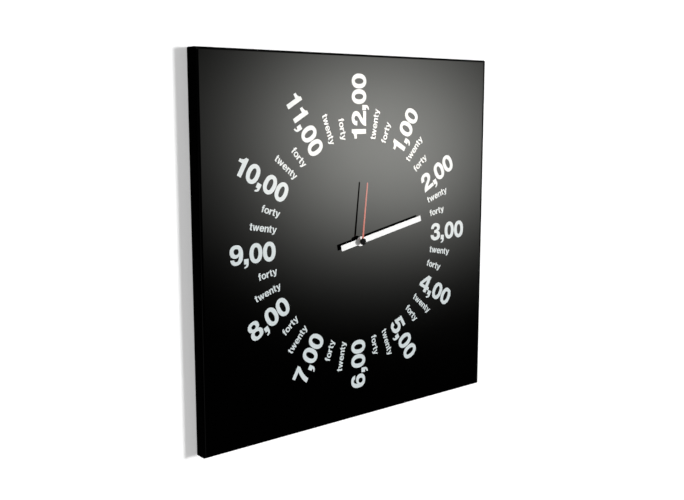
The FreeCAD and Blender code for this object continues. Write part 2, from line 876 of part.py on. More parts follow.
def rotor_pinion():
    """Shaft of the motor with its pinion."""
    pinion = pinion_at(
        intermediate_depth, thin_wheel, teeth_rotor, module_rotor, rotor_axis, phase_rotor
    )
    root = root_of(teeth_rotor, module_rotor)
    return joined(pinion, pivoted_shaft(rotor_axis, bridge_top + pivot_shoulder, shaft_end, root))


def rotor_magnet():
    """Ring magnet on the rotor's shaft."""
    low = level(magnet_depth, magnet_length)
    return tube(rotor_axis, low, magnet_length, magnet_radius, root_of(teeth_rotor, module_rotor))


# ---- Motion work and setting -----------------------------------------------


def minute_pipe():
    """Minute pipe with the cannon pinion, open end to end for the arbor."""
    pinion = pinion_at(
        motion_depth, wheel_thickness, teeth_cannon, module_motion, centre_axis, phase_cannon
    )
    pipe_low = level(motion_depth - pinion_overlap + bite, 0)
    pipe = cylinder(centre_axis, pipe_low, minute_pipe_top - pipe_low, minute_pipe_radius)
    seat_start = motion_depth + wheel_thickness + pinion_overlap - bite
    seat_end = centre_depth + wheel_thickness + pinion_overlap
    seat = between(centre_axis, seat_start, seat_end, minute_pipe_radius)
    bore = drill(centre_axis, case_rear, minute_pipe_top, second_arbor_radius + fit)
    return without(joined(pinion, pipe, seat), bore)


def motion_wheel():
    """Wheel driven by the cannon pinion, whose pinion drives the hour wheel."""
    wheel = wheel_at(
        motion_depth, wheel_thickness, teeth_motion, module_motion, motion_axis, phase_motion
    )
    pinion = pinion_at(
        hour_wheel_depth,
        wheel_thickness,
        teeth_motion_pinion,
        module_hour,
        motion_axis,
        phase_motion_pinion,
    )
    root = root_of(teeth_motion_pinion, module_hour)
    neck = between(motion_axis, hour_wheel_depth + wheel_thickness, motion_depth + bite, root)
    bore = drill(motion_axis, case_rear, case_front, motion_post_radius + fit)
    return without(joined(wheel, pinion, neck), bore)


def hour_wheel():
    """Hour wheel with the pipe that carries the hour hand."""
    wheel = wheel_at(
        hour_wheel_depth, wheel_thickness, teeth_hour, module_hour, centre_axis, phase_hour
    )
    low = level(hour_wheel_depth, wheel_thickness)
    pipe = cylinder(centre_axis, low, hour_pipe_top - low, hour_pipe_radius)
    return without(joined(wheel, pipe), drill(centre_axis, low, hour_pipe_top, hour_pipe_bore))


def knob_floor():
    """Height of the knob's socket floor, where the spindle ends."""
    return case_rear - knob_gap - knob_height + knob_roof


def setting_spindle():
    """Spindle from the knob to the pinion that turns the motion wheel."""
    pinion = pinion_at(
        motion_depth, wheel_thickness, teeth_setting, module_motion, setting_axis, phase_setting
    )
    low = knob_floor()
    shaft_top = level(motion_depth + wheel_thickness, 0)
    shaft = cylinder(setting_axis, low, shaft_top - low, spindle_radius)
    pin_end = motion_depth - pinion_overlap - pivot_shoulder - pivot_length
    pin = between(setting_axis, pin_end, motion_depth, spindle_pin_radius)
    return joined(pinion, shaft, pin)


def setting_knob():
    """Fluted knob on the back of the movement."""
    low, high = case_rear - knob_gap - knob_height, case_rear - knob_gap
    knob = cylinder(setting_axis, low, knob_height, knob_radius)
    knob = knob.makeFillet(knob_flute_radius / 2, level_edges(knob, low))
    flutes = []
    for number in range(knob_flutes):
        spot = away(setting_axis, knob_radius + knob_flute_offset, 360.0 * number / knob_flutes)
        flutes.append(drill(spot, low, high, knob_flute_radius))
    socket = cylinder(setting_axis, knob_floor(), knob_height, spindle_radius)
    return without(knob, socket, *flutes)


# ---- Hands -----------------------------------------------------------------


def turned(shape, clockwise):
    """A shape pointing at 12, turned clockwise about the hands' axis."""
    shape.rotate(Vector(0, 0, 0), Vector(0, 0, 1), -clockwise)
    return shape


def hour_hand():
    """Flat baton with a round boss."""
    half = hour_width / 2
    top = hour_blade_z + hour_thickness
    blade = block(-half, half, -hour_tail, hour_reach, hour_blade_z, top)
    boss = cylinder(centre_axis, hour_blade_z, hour_thickness, hour_boss_radius)
    bore = drill(centre_axis, hour_blade_z, top, hour_pipe_radius)
    return turned(joined(blade, boss).cut(bore), hour_angle)


def hour_hand_collet():
    """Brass collet under the hour hand, gripping the hour pipe."""
    low = bush_top + loose
    height = hour_blade_z - low
    outer = hour_pipe_radius + hour_collet_wall
    barrel = cylinder(centre_axis, low, height, outer)
    lip_low = hour_blade_z - hour_collet_lip_height
    lip = cylinder(centre_axis, lip_low, hour_collet_lip_height, outer + hour_collet_lip)
    bore = drill(centre_axis, low, hour_blade_z, hour_pipe_radius)
    return without(joined(barrel, lip), bore)


def second_hand():
    """Tapered needle with a ring under the cap."""
    outline = [
        (-second_width / 2, 0),
        (second_width / 2, 0),
        (second_tip_width / 2, second_reach),
        (-second_tip_width / 2, second_reach),
    ]
    needle = prism(outline, second_z, second_thickness)
    hub = cylinder(centre_axis, second_z, second_thickness, second_hub_radius)
    bore = drill(centre_axis, second_z, cap_z, second_arbor_radius)
    return turned(joined(needle, hub).cut(bore), second_angle)


def second_hand_cap():
    """Round cap pressed on the end of the second arbor."""
    cap = cylinder(centre_axis, cap_z, cap_height, cap_radius)
    cap = cap.makeFillet(cap_edge, level_edges(cap, cap_z + cap_height))
    socket = cylinder(centre_axis, cap_z - past, arbor_top - cap_z + past, second_arbor_radius)
    return cap.cut(socket)


# ---- Writing ---------------------------------------------------------------


def write(name, shape):
    """Stand a bench shape up and write it as one node."""
    solids = shape.Solids
    if len(solids) != 1 or not shape.isValid():
        print("check", name, "solids", len(solids), "valid", shape.isValid())
    solid = solids[0].copy()
    solid.rotate(Vector(0, 0, 0), Vector(1, 0, 0), 90)
    solid.exportStep("parts/" + name + ".step")
    print(name, round(solid.Volume, 2))


pieces = {
    "front_panel": front_panel(),
    "rubber_washer": rubber_washer(),
    "flat_washer": flat_washer(),
    "bush_nut": bush_nut(),
    "threaded_bush": threaded_bush(),
    "front_case": front_case(),
    "rear_cover": rear_cover(),
    "bridge_plate": bridge_plate(),
    "stator": stator(),
    "coil_core": coil_core(),
    "coil_bobbin": coil_bobbin(),
    "coil_winding": coil_winding(),
    "circuit_board": circuit_board(),
    "quartz_crystal": quartz_crystal(),
    "clock_chip": clock_chip(),
    "negative_contact": battery_contact(-1),
    "positive_contact": battery_contact(1),
    "battery_can": battery_can(),
    "battery_cap": battery_cap(),
    "rotor_magnet": rotor_magnet(),
    "rotor_pinion": rotor_pinion(),
    "intermediate_wheel": intermediate_wheel(),
    "second_wheel": second_wheel(),
    "second_arbor": second_arbor(),
    "third_wheel": third_wheel(),
    "centre_wheel": centre_wheel(),
    "minute_pipe": minute_pipe(),
    "motion_wheel": motion_wheel(),
    "hour_wheel": hour_wheel(),
    "setting_spindle": setting_spindle(),
    "setting_knob": setting_knob(),
    "hour_hand": hour_hand(),
    "hour_hand_collet": hour_hand_collet(),
    "second_hand": second_hand(),
    "second_hand_cap": second_hand_cap(),
}
for name, shape in pieces.items():
    write(name, shape)
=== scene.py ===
"""Looks of the word clock: finishes, dial print, moulded marks, studio and camera.

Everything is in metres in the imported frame: +X right, +Z up, +Y into the wall, with
the origin on the wall plane at the axis of the hands.
"""
import logging
import math
from dataclasses import dataclass
from enum import Enum
from typing import Iterator, Sequence, Union

import bmesh
import bpy
from mathutils import Matrix, Vector


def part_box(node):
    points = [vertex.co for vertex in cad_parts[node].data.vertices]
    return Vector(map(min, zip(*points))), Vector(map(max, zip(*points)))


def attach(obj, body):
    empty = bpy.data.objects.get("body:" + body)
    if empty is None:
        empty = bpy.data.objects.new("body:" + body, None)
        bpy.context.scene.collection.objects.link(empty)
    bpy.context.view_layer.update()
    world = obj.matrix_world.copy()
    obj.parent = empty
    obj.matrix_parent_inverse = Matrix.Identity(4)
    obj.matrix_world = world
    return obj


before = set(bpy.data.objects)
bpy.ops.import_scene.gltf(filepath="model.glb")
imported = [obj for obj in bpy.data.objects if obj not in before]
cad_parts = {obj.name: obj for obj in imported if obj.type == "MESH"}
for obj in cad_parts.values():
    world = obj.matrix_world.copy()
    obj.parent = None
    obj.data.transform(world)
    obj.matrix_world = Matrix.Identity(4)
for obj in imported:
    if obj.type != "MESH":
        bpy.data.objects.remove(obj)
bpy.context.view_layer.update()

LOG = logging.getLogger("word_clock")
MM = 0.001
Node, Socket = bpy.types.Node, bpy.types.NodeSocket
Colour = tuple[float, float, float]
Point = tuple[float, float]
Span = tuple[float, float]
Place = tuple[float, float, float]
Term = Union[float, Socket]
Coat = dict[str, object]  # What a shader's inputs take, by their names.


# ---- Named choices -----------------------------------------------------------

class Slot(Enum):
    """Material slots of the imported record."""

    PANEL = "panel_black"
    PRINT = "dial_print"
    HOUR_HAND = "hour_hand_white"
    NEEDLE = "second_hand_red"
    HUB_CAP = "cap_black"
    PLATED = "black_plated"
    WASHER = "washer_rubber"
    HOUSING = "case_plastic"
    KNOB = "knob_plastic"
    WHEEL = "wheel_plastic"
    BRIDGE = "bridge_plastic"
    BOBBIN = "bobbin_plastic"
    PIPE = "pipe_nickel"
    BRASS = "bush_brass"
    SHAFT = "shaft_steel"
    IRON = "core_iron"
    MAGNET = "magnet_black"
    WINDING = "winding_copper"
    BOARD = "board_green"
    CHIP = "chip_resin"
    CRYSTAL = "crystal_can"
    CONTACT = "contact_nickel"
    CELL_WRAP = "cell_wrap"
    CELL_POLE = "cell_pole"


class Reading(Enum):
    """Which way a line of the dial print runs along its radius."""

    OUTWARD = 1
    INWARD = -1


class Effect(Enum):
    """Node groups that several finishes place with their own values."""

    DRIFT = "surface_drift"
    PEEL = "orange_peel"
    GRAIN = "mould_grain"
    WEAR = "edge_wear"
    TURNING = "turning_marks"
    ROLLING = "rolling_lines"
    DUST = "settled_dust"


# ---- Node wiring -------------------------------------------------------------

class Wiring:
    """Adds and joins the nodes of one node tree."""

    def __init__(self, tree: bpy.types.NodeTree) -> None:
        """Starts wiring.

        Args:
            tree: The material, world or group tree to work on.
        """
        self.tree = tree

    @classmethod
    def cleared(cls, owner: Union[bpy.types.Material, bpy.types.World]) -> "Wiring":
        """Starts wiring on a material or world, whose own nodes are taken out.

        Args:
            owner: The material or world.

        Returns:
            The wiring of its node tree.
        """
        owner.use_nodes = True
        owner.node_tree.nodes.clear()
        return cls(owner.node_tree)

    def add(self, kind: str, **settings: object) -> Node:
        """Adds a node.

        Args:
            kind: The node's type name without the leading ShaderNode, or a full name
                that starts with Node.
            **settings: Attributes of the node.

        Returns:
            The new node.
        """
        node = self.tree.nodes.new(kind if kind.startswith("Node") else "ShaderNode" + kind)
        for name, value in settings.items():
            setattr(node, name, value)
        return node

    def feed(self, socket: Socket, term: object) -> None:
        """Links a socket to an output, or sets its value.

        Args:
            socket: The input to feed.
            term: An output socket, a number, a vector or a colour.
        """
        if isinstance(term, Socket):
            self.tree.links.new(term, socket)
        else:
            socket.default_value = term

    def value(self, operation: str, *terms: Term, clamp: bool = False) -> Socket:
        """Adds a Math node.

        Args:
            operation: The node's operation.
            *terms: Its one to three inputs.
            clamp: Whether the result is held between 0 and 1.

        Returns:
            The result.
        """
        node = self.add("Math", operation=operation, use_clamp=clamp)
        for socket, term in zip(node.inputs, terms):
            self.feed(socket, term)
        return node.outputs[0]

    def product(self, first: Term, *others: Term) -> Term:
        """Multiplies values, from left to right.

        Args:
            first: The first value.
            *others: What it is multiplied by.

        Returns:
            The product.
        """
        for term in others:
            first = self.value("MULTIPLY", first, term)
        return first

    def gap(self, term: Term, level: float) -> Socket:
        """Measures how far a value lies from a level.

        Args:
            term: The value.
            level: The level.

        Returns:
            The distance, never below 0.
        """
        return self.value("ABSOLUTE", self.value("SUBTRACT", term, level))

    def vector(self, operation: str, *terms: object) -> Node:
        """Adds a Vector Math node.

        Args:
            operation: The node's operation.
            *terms: Its vector inputs.

        Returns:
            The node, because some operations give a vector and some a value.
        """
        node = self.add("VectorMath", operation=operation)
        for socket, term in zip(node.inputs, terms):
            self.feed(socket, term)
        return node

    def rise(self, term: Term, start: float, end: float) -> Socket:
        """Turns a value smoothly into a mask.

        Args:
            term: The value that drives the change.
            start: Where the mask leaves 0.
            end: Where it reaches 1, above or below start.

        Returns:
            The mask.
        """
        node = self.add("MapRange", interpolation_type="SMOOTHSTEP", clamp=True)
        for name, given in (("Value", term), ("From Min", start), ("From Max", end)):
            self.feed(node.inputs[name], given)
        return node.outputs["Result"]

    def blend(self, factor: Term, first: object, second: object) -> Socket:
        """Mixes two colours.

        Args:
            factor: 0 gives the first colour and 1 the second.
            first: A colour or an output.
            second: A colour or an output.

        Returns:
            The mixed colour.
        """
        node = self.add("Mix", data_type="RGBA")
        self.feed(node.inputs[0], factor)
        for socket, term in ((node.inputs[6], first), (node.inputs[7], second)):
            self.feed(socket, (*term, 1.0) if isinstance(term, tuple) else term)
        return node.outputs[2]

    def mix_shaders(self, factor: Term, first: Socket, second: Socket) -> Socket:
        """Mixes two shaders.

        Args:
            factor: 0 gives the first shader and 1 the second.
            first: A shader.
            second: A shader.

        Returns:
            The mixed shader.
        """
        node = self.add("MixShader")
        for socket, term in zip(node.inputs, (factor, first, second)):
            self.feed(socket, term)
        return node.outputs[0]

    def noise(self, place: Socket, scale: Term, detail: float = 3.0,
              roughness: float = 0.55) -> Socket:
        """Adds a Noise Texture.

        Args:
            place: The coordinates.
            scale: Waves per metre.
            detail: Octaves.
            roughness: How strong the finer octaves are.

        Returns:
            The noise, mostly between 0.3 and 0.7.
        """
        node = self.add("TexNoise")
        for name, given in (("Vector", place), ("Scale", scale), ("Detail", detail),
                            ("Roughness", roughness)):
            self.feed(node.inputs[name], given)
        return node.outputs["Fac"]

    def place(self) -> Socket:
        """Gives the point on the piece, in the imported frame's metres."""
        return self.add("TexCoord").outputs["Object"]

    def axes(self, place: Socket) -> tuple[Socket, ...]:
        """Splits a point.

        Args:
            place: The point.

        Returns:
            Its x, y and z.
        """
        node = self.add("SeparateXYZ")
        self.feed(node.inputs[0], place)
        return tuple(node.outputs)

    def off_axis(self, x: Term, z: Term, centre: Point = (0.0, 0.0)) -> Socket:
        """Measures the distance from a line along Y.

        Args:
            x: The point's x.
            z: The point's z.
            centre: Where the line crosses the XZ plane.

        Returns:
            The distance in metres.
        """
        across = self.value("POWER", self.value("SUBTRACT", x, centre[0]), 2.0)
        upward = self.value("POWER", self.value("SUBTRACT", z, centre[1]), 2.0)
        return self.value("SQRT", self.value("ADD", across, upward))

    def bump(self, height: Socket, depth: Term, normal: Union[Socket, None] = None) -> Socket:
        """Turns a height into a normal.

        Args:
            height: The height, as a share of the depth.
            depth: How deep a height of 1 is, in metres.
            normal: The normal that the bumps stand on.

        Returns:
            The new normal.
        """
        node = self.add("Bump")
        self.feed(node.inputs["Height"], height)
        self.feed(node.inputs["Distance"], depth)
        if normal is not None:
            self.feed(node.inputs["Normal"], normal)
        return node.outputs["Normal"]

    def effect(self, kind: Effect, **values: Term) -> Node:
        """Places a shared effect.

        Args:
            kind: Which effect.
            **values: Its inputs by name.

        Returns:
            The group node.
        """
        node = self.add("Group")
        node.node_tree = EFFECTS.tree(kind)
        for name, term in values.items():
            self.feed(node.inputs[name], term)
        return node

    def mask(self, kind: Effect, **values: Term) -> Socket:
        """Places a shared effect for its mask.

        Args:
            kind: Which effect.
            **values: Its inputs by name.

        Returns:
            The mask.
        """
        return self.effect(kind, **values).outputs["Mask"]


# ---- Effects that several finishes share -------------------------------------

class EffectLibrary:
    """Builds each shared node group the first time that a finish places it.

    A pair of levels is where a mask leaves 0 and where it reaches 1.

    Attributes:
        drift_gain: How far the drift spreads the noise's narrow range.
        pattern: Levels of the noise for grain, rings and lines.
        chipping: Levels of the noise for the gaps in a worn edge.
        patches: Levels of the noise for patches of dust.
        edge: Levels of the cosine between the true normal and the rounded one.
        upward: Levels of a normal's height for faces that hold dust.
        drawn: How rolling stretches its lines, as shares of their frequency.
    """

    drift_gain: float = 2.2
    pattern: Span = (0.35, 0.65)
    chipping: Span = (0.42, 0.60)
    patches: Span = (0.40, 0.70)
    edge: Span = (0.995, 0.90)
    upward: Span = (0.55, 0.98)
    drawn: Place = (0.04, 1.0, 1.0)

    def __init__(self) -> None:
        """Starts with no group built."""
        self.built: dict[Effect, bpy.types.NodeTree] = {}

    def tree(self, kind: Effect) -> bpy.types.NodeTree:
        """Gives an effect's group, which the method of the same name builds.

        Args:
            kind: Which effect.

        Returns:
            The group's node tree.
        """
        if kind not in self.built:
            made = bpy.data.node_groups.new(kind.value, "ShaderNodeTree")
            self.built[kind] = made
            getattr(self, kind.value)(Wiring(made))
        return self.built[kind]

    @staticmethod
    def sockets(wiring: Wiring, takes: dict[str, float],
                *gives: str) -> tuple[dict[str, Socket], dict[str, Socket]]:
        """Declares a group's inputs and outputs.

        Args:
            wiring: The group's wiring.
            takes: Name and default of each input number.
            *gives: Mask, a number, or Normal, a vector.

        Returns:
            The inputs' values and the outputs' sockets, by name.
        """
        face = wiring.tree.interface
        for name, default in takes.items():
            made = face.new_socket(name=name, in_out="INPUT", socket_type="NodeSocketFloat")
            made.default_value = default
        for name in gives:
            kind = "NodeSocketVector" if name == "Normal" else "NodeSocketFloat"
            face.new_socket(name=name, in_out="OUTPUT", socket_type=kind)
        entry, leave = wiring.add("NodeGroupInput"), wiring.add("NodeGroupOutput")
        return ({name: entry.outputs[name] for name in takes},
                {name: leave.inputs[name] for name in gives})

    @staticmethod
    def waves(wiring: Wiring, length: Socket, place: Union[Socket, None] = None,
              detail: float = 2.0, roughness: float = 0.55) -> Socket:
        """Adds noise with waves of a given length.

        Args:
            wiring: The group's wiring.
            length: Length of the waves.
            place: The coordinates, or None for the point on the piece.
            detail: Octaves.
            roughness: How strong the finer octaves are.

        Returns:
            The noise.
        """
        scale = wiring.value("DIVIDE", 1.0, length)
        return wiring.noise(wiring.place() if place is None else place, scale, detail, roughness)

    def surface_drift(self, wiring: Wiring) -> None:
        """Slow change of tone over a surface, as handling and moulding leave it."""
        takes, gives = self.sockets(wiring, {"Size": 20 * MM, "Contrast": 1.0}, "Mask")
        cloud = self.waves(wiring, takes["Size"], detail=4.0)
        centred = wiring.product(wiring.value("SUBTRACT", cloud, 0.5),
                                 wiring.product(takes["Contrast"], self.drift_gain))
        wiring.feed(gives["Mask"], wiring.value("ADD", centred, 0.5, clamp=True))

    def orange_peel(self, wiring: Wiring) -> None:
        """Long shallow waves that a sprayed film dries with."""
        takes, gives = self.sockets(wiring, {"Size": 2 * MM, "Depth": 1e-6}, "Normal")
        waves = self.waves(wiring, takes["Size"], detail=1.0, roughness=0.3)
        wiring.feed(gives["Normal"], wiring.bump(waves, takes["Depth"]))

    def mould_grain(self, wiring: Wiring) -> None:
        """Spark-eroded texture of a moulding tool."""
        takes, gives = self.sockets(wiring, {"Size": 0.2 * MM, "Depth": 10e-6}, "Mask", "Normal")
        mask = wiring.rise(self.waves(wiring, takes["Size"], roughness=0.7), *self.pattern)
        wiring.feed(gives["Mask"], mask)
        wiring.feed(gives["Normal"], wiring.bump(mask, takes["Depth"]))

    def edge_wear(self, wiring: Wiring) -> None:
        """Broken band along sharp edges, found where a rounded normal leaves the true one."""
        takes, gives = self.sockets(wiring, {"Radius": 0.3 * MM, "Breakup": 1 * MM}, "Mask")
        rounded = wiring.add("Bevel", samples=4)
        wiring.feed(rounded.inputs["Radius"], takes["Radius"])
        true = wiring.add("NewGeometry").outputs["Normal"]
        turn = wiring.vector("DOT_PRODUCT", rounded.outputs[0], true).outputs["Value"]
        chips = wiring.rise(self.waves(wiring, takes["Breakup"], detail=5.0), *self.chipping)
        wiring.feed(gives["Mask"], wiring.product(wiring.rise(turn, *self.edge), chips))

    def turning_marks(self, wiring: Wiring) -> None:
        """Fine rings round the hands' axis that a lathe leaves."""
        x, y, z = wiring.axes(wiring.place())
        place = wiring.add("CombineXYZ")
        wiring.feed(place.inputs[0], wiring.off_axis(x, z))
        wiring.feed(place.inputs[1], y)
        self.tool_marks(wiring, place.outputs[0], detail=2.0)

    def rolling_lines(self, wiring: Wiring) -> None:
        """Long hairlines along X that rolled strip carries."""
        place = wiring.vector("MULTIPLY", wiring.place(), self.drawn).outputs[0]
        self.tool_marks(wiring, place, detail=3.0)

    def tool_marks(self, wiring: Wiring, place: Socket, detail: float) -> None:
        """Fine marks that lie as their coordinates do.

        Args:
            wiring: The group's wiring.
            place: The coordinates.
            detail: Octaves.
        """
        takes, gives = self.sockets(wiring, {"Pitch": 0.15 * MM, "Depth": 3e-6}, "Mask", "Normal")
        marks = self.waves(wiring, takes["Pitch"], place, detail)
        wiring.feed(gives["Mask"], wiring.rise(marks, *self.pattern))
        wiring.feed(gives["Normal"], wiring.bump(marks, takes["Depth"]))

    def settled_dust(self, wiring: Wiring) -> None:
        """Loose film on faces that look up."""
        takes, gives = self.sockets(wiring, {"Size": 4 * MM, "Cover": 0.3}, "Mask")
        facing = wiring.axes(wiring.add("TexCoord").outputs["Normal"])[2]
        patches = wiring.rise(self.waves(wiring, takes["Size"], detail=6.0), *self.patches)
        lying = wiring.product(wiring.rise(facing, *self.upward), patches)
        wiring.feed(gives["Mask"], wiring.value("MULTIPLY", lying, takes["Cover"], clamp=True))


EFFECTS = EffectLibrary()


# ---- Finishes ----------------------------------------------------------------

@dataclass(frozen=True)
class Finish:
    """What every finish shares: the constants of its shader.

    Attributes:
        colour: Base colour, linear.
        roughness: Mean roughness.
        metallic: 1 for bare metal.
        ior: Index of refraction.
        specular: Specular level of the shader, 0.5 by default.
    """

    colour: Colour
    roughness: float = 0.4
    metallic: float = 0.0
    ior: float = 1.5
    specular: float = 0.5

    def material(self, name: str) -> None:
        """Builds the finish, in place where the frame brought a material of its name.

        Args:
            name: The material's name, which is its slot in the record.
        """
        made = bpy.data.materials.get(name) or bpy.data.materials.new(name)
        wiring = Wiring.cleared(made)
        shader = wiring.add("BsdfPrincipled")
        wiring.feed(wiring.add("OutputMaterial").inputs["Surface"], shader.outputs[0])
        plain = {"Base Color": (*self.colour, 1.0), "Roughness": self.roughness,
                 "Metallic": self.metallic, "IOR": self.ior,
                 "Specular IOR Level": self.specular}
        for socket, term in (plain | self.dress(wiring)).items():
            wiring.feed(shader.inputs[socket], term)

    def dress(self, wiring: Wiring) -> Coat:
        """Wires what changes over the surface.

        Args:
            wiring: The material's wiring.

        Returns:
            What the shader's inputs take, by their names.
        """
        raise NotImplementedError

    def tones(self, wiring: Wiring, size: float, spread: float) -> Socket:
        """Mottles the base colour.

        Args:
            wiring: The material's wiring.
            size: How large the patches are, in metres.
            spread: How far they lie from the base colour, as a share.

        Returns:
            The mottled colour.
        """
        drift = wiring.mask(Effect.DRIFT, Size=size, Contrast=1.0)
        low = tuple(part * (1.0 - spread) for part in self.colour)
        high = tuple(min(1.0, part * (1.0 + spread)) for part in self.colour)
        return wiring.blend(drift, low, high)

    def gloss(self, wiring: Wiring, size: float, spread: float) -> Socket:
        """Varies the roughness.

        Args:
            wiring: The material's wiring.
            size: How large the patches are, in metres.
            spread: How far they lie from the mean, as a share.

        Returns:
            The roughness.
        """
        drift = wiring.mask(Effect.DRIFT, Size=size, Contrast=1.6)
        low = self.roughness * (1.0 - spread)
        high = self.roughness * (1.0 + spread)
        return wiring.value("MULTIPLY_ADD", drift, high - low, low)


@dataclass(frozen=True)
class Lacquer(Finish):
    """Sprayed and baked gloss paint on metal.

    Attributes:
        peel_size: Length of the orange-peel waves.
        peel_depth: Their height.
        dust: Colour of what settles on it.
        dust_cover: How much of an upward face the dust hides at most.
        dust_rough: How much roughness a full cover of dust would add.
    """

    peel_size: float = 2.4 * MM
    peel_depth: float = 0.6e-6
    dust: Colour = (0.30, 0.28, 0.25)
    dust_cover: float = 0.10
    dust_rough: float = 0.5

    def dress(self, wiring: Wiring) -> Coat:
        """Adds film waves, handling marks and settled dust."""
        film = wiring.effect(Effect.PEEL, Size=self.peel_size, Depth=self.peel_depth)
        fall = wiring.mask(Effect.DUST, Size=5 * MM, Cover=self.dust_cover)
        tones = self.tones(wiring, size=35 * MM, spread=0.03)
        gloss = self.gloss(wiring, size=40 * MM, spread=0.22)
        rough = wiring.value("ADD", gloss, wiring.product(fall, self.dust_rough), clamp=True)
        return {"Base Color": wiring.blend(fall, tones, self.dust), "Roughness": rough,
                "Normal": film.outputs["Normal"]}


@dataclass(frozen=True)
class PanelLacquer(Lacquer):
    """The panel's black lacquer, with a drier coat inside and rubbed keyholes.

    Attributes:
        inner_roughness: Roughness where only overspray reached.
        dry: The two colours of the coat inside.
        speck_size: Size of its specks.
        speck_depth: Their height.
        inner_edge: How gradually the coat inside starts.
        steel: Bare metal where a screw head has rubbed.
        wall: The sheet's thickness.
        half: Half the panel's size.
        keyhole: Where the slot of the right keyhole ends, as x and z.
        rubbed: Inner and outer radius of the rubbed ring.
        scratches: Waves per metre of the scratches in that ring.
        scratch_levels: Levels of their noise where bare metal starts and is full.
        fold: Outside radius of the folds.
        roll_width: How far from the side folds the face starts to fall away.
        roll_depth: How far it has fallen where the fold starts.
    """

    inner_roughness: float = 0.46
    dry: tuple[Colour, Colour] = ((0.010, 0.010, 0.011), (0.020, 0.020, 0.021))
    speck_size: float = 0.9 * MM
    speck_depth: float = 10e-6
    inner_edge: float = 0.05 * MM
    steel: Colour = (0.42, 0.41, 0.40)
    wall: float = 1.2 * MM
    half: float = 250 * MM
    keyhole: Point = (150 * MM, 241.5 * MM)
    rubbed: Span = (2.4 * MM, 4.2 * MM)
    scratches: float = 2500.0
    scratch_levels: Span = (0.46, 0.56)
    fold: float = 3.0 * MM
    roll_width: float = 2.2 * MM
    roll_depth: float = 0.20 * MM

    def inside(self, wiring: Wiring, x: Term, y: Term, z: Term) -> Socket:
        """Marks the inner faces of the folded sheet.

        Args:
            wiring: The material's wiring.
            x: The point's x.
            y: The point's y.
            z: The point's z.

        Returns:
            1 inside the panel and 0 outside.
        """
        reach = wiring.value("MAXIMUM", wiring.value("ABSOLUTE", x), wiring.value("ABSOLUTE", z))
        edge = self.half - self.wall
        within = wiring.rise(reach, edge + self.inner_edge, edge - self.inner_edge)
        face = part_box("front_panel")[0].y + self.wall
        return wiring.product(within, wiring.rise(y, face - self.inner_edge, face))

    def roll(self, wiring: Wiring, x: Term) -> Socket:
        """Gives the face's slight fall towards the side folds.

        Args:
            wiring: The material's wiring.
            x: The point's x.

        Returns:
            0 on the flat and -1 where the fold starts.
        """
        start = self.half - self.fold - self.roll_width
        past = wiring.value("SUBTRACT", wiring.value("ABSOLUTE", x), start)
        share = wiring.value("DIVIDE", wiring.value("MAXIMUM", past, 0.0), self.roll_width)
        return wiring.product(share, share, -1.0)

    def dress(self, wiring: Wiring) -> Coat:
        """Adds the lacquer, the drier inner coat and the rubbed keyholes."""
        outer = super().dress(wiring)
        place = wiring.place()
        x, y, z = wiring.axes(place)
        inner = self.inside(wiring, x, y, z)
        speck = wiring.mask(Effect.GRAIN, Size=self.speck_size)
        reach = wiring.off_axis(wiring.value("ABSOLUTE", x), z, self.keyhole)
        ring = wiring.rise(reach, self.rubbed[1], self.rubbed[0])
        marred = wiring.noise(place, self.scratches, detail=6.0)
        bare = wiring.product(ring, wiring.rise(marred, *self.scratch_levels), inner)
        coat = wiring.blend(inner, outer["Base Color"], wiring.blend(speck, *self.dry))
        drier = wiring.value("SUBTRACT", self.inner_roughness, outer["Roughness"])
        rolled = wiring.bump(self.roll(wiring, x), self.roll_depth, outer["Normal"])
        specks = wiring.product(speck, inner)
        return {"Base Color": wiring.blend(bare, coat, self.steel),
                "Roughness": wiring.value("MULTIPLY_ADD", inner, drier, outer["Roughness"]),
                "Metallic": bare,
                "Normal": wiring.bump(specks, self.speck_depth, rolled)}


@dataclass(frozen=True)
class PrintedInk(Finish):
    """Screen-printed ink with a mesh texture and slightly thin spots.

    Attributes:
        thin: Colour where the film is thinnest.
        mesh: Spacing of the screen's threads.
        weave_depth: How far their pattern stands out.
        pinholes: Waves per metre of the thin spots.
        pinhole_levels: Levels of their noise where the film starts to thin and is thinnest.
        tint: Colour of the film's reflections.
    """

    thin: Colour = (0.50, 0.53, 0.54)
    mesh: float = 0.11 * MM
    weave_depth: float = 1.2e-6
    pinholes: float = 900.0
    pinhole_levels: Span = (0.66, 0.74)
    tint: Colour = (1.0, 0.84, 0.76)

    def dress(self, wiring: Wiring) -> Coat:
        """Adds the screen's weave and pinholes."""
        place = wiring.place()
        x, _, z = wiring.axes(place)
        turns = 2.0 * math.pi / self.mesh
        warp, weft = (wiring.value("SINE", wiring.product(way, turns)) for way in (x, z))
        weave = wiring.value("MULTIPLY_ADD", wiring.product(warp, weft), 0.5, 0.5)
        spots = wiring.rise(wiring.noise(place, self.pinholes, detail=5.0),
                            *self.pinhole_levels)
        tones = self.tones(wiring, size=22 * MM, spread=0.025)
        return {"Base Color": wiring.blend(spots, tones, self.thin),
                "Specular Tint": (*self.tint, 1.0),
                "Roughness": self.gloss(wiring, size=15 * MM, spread=0.15),
                "Normal": wiring.bump(weave, self.weave_depth)}


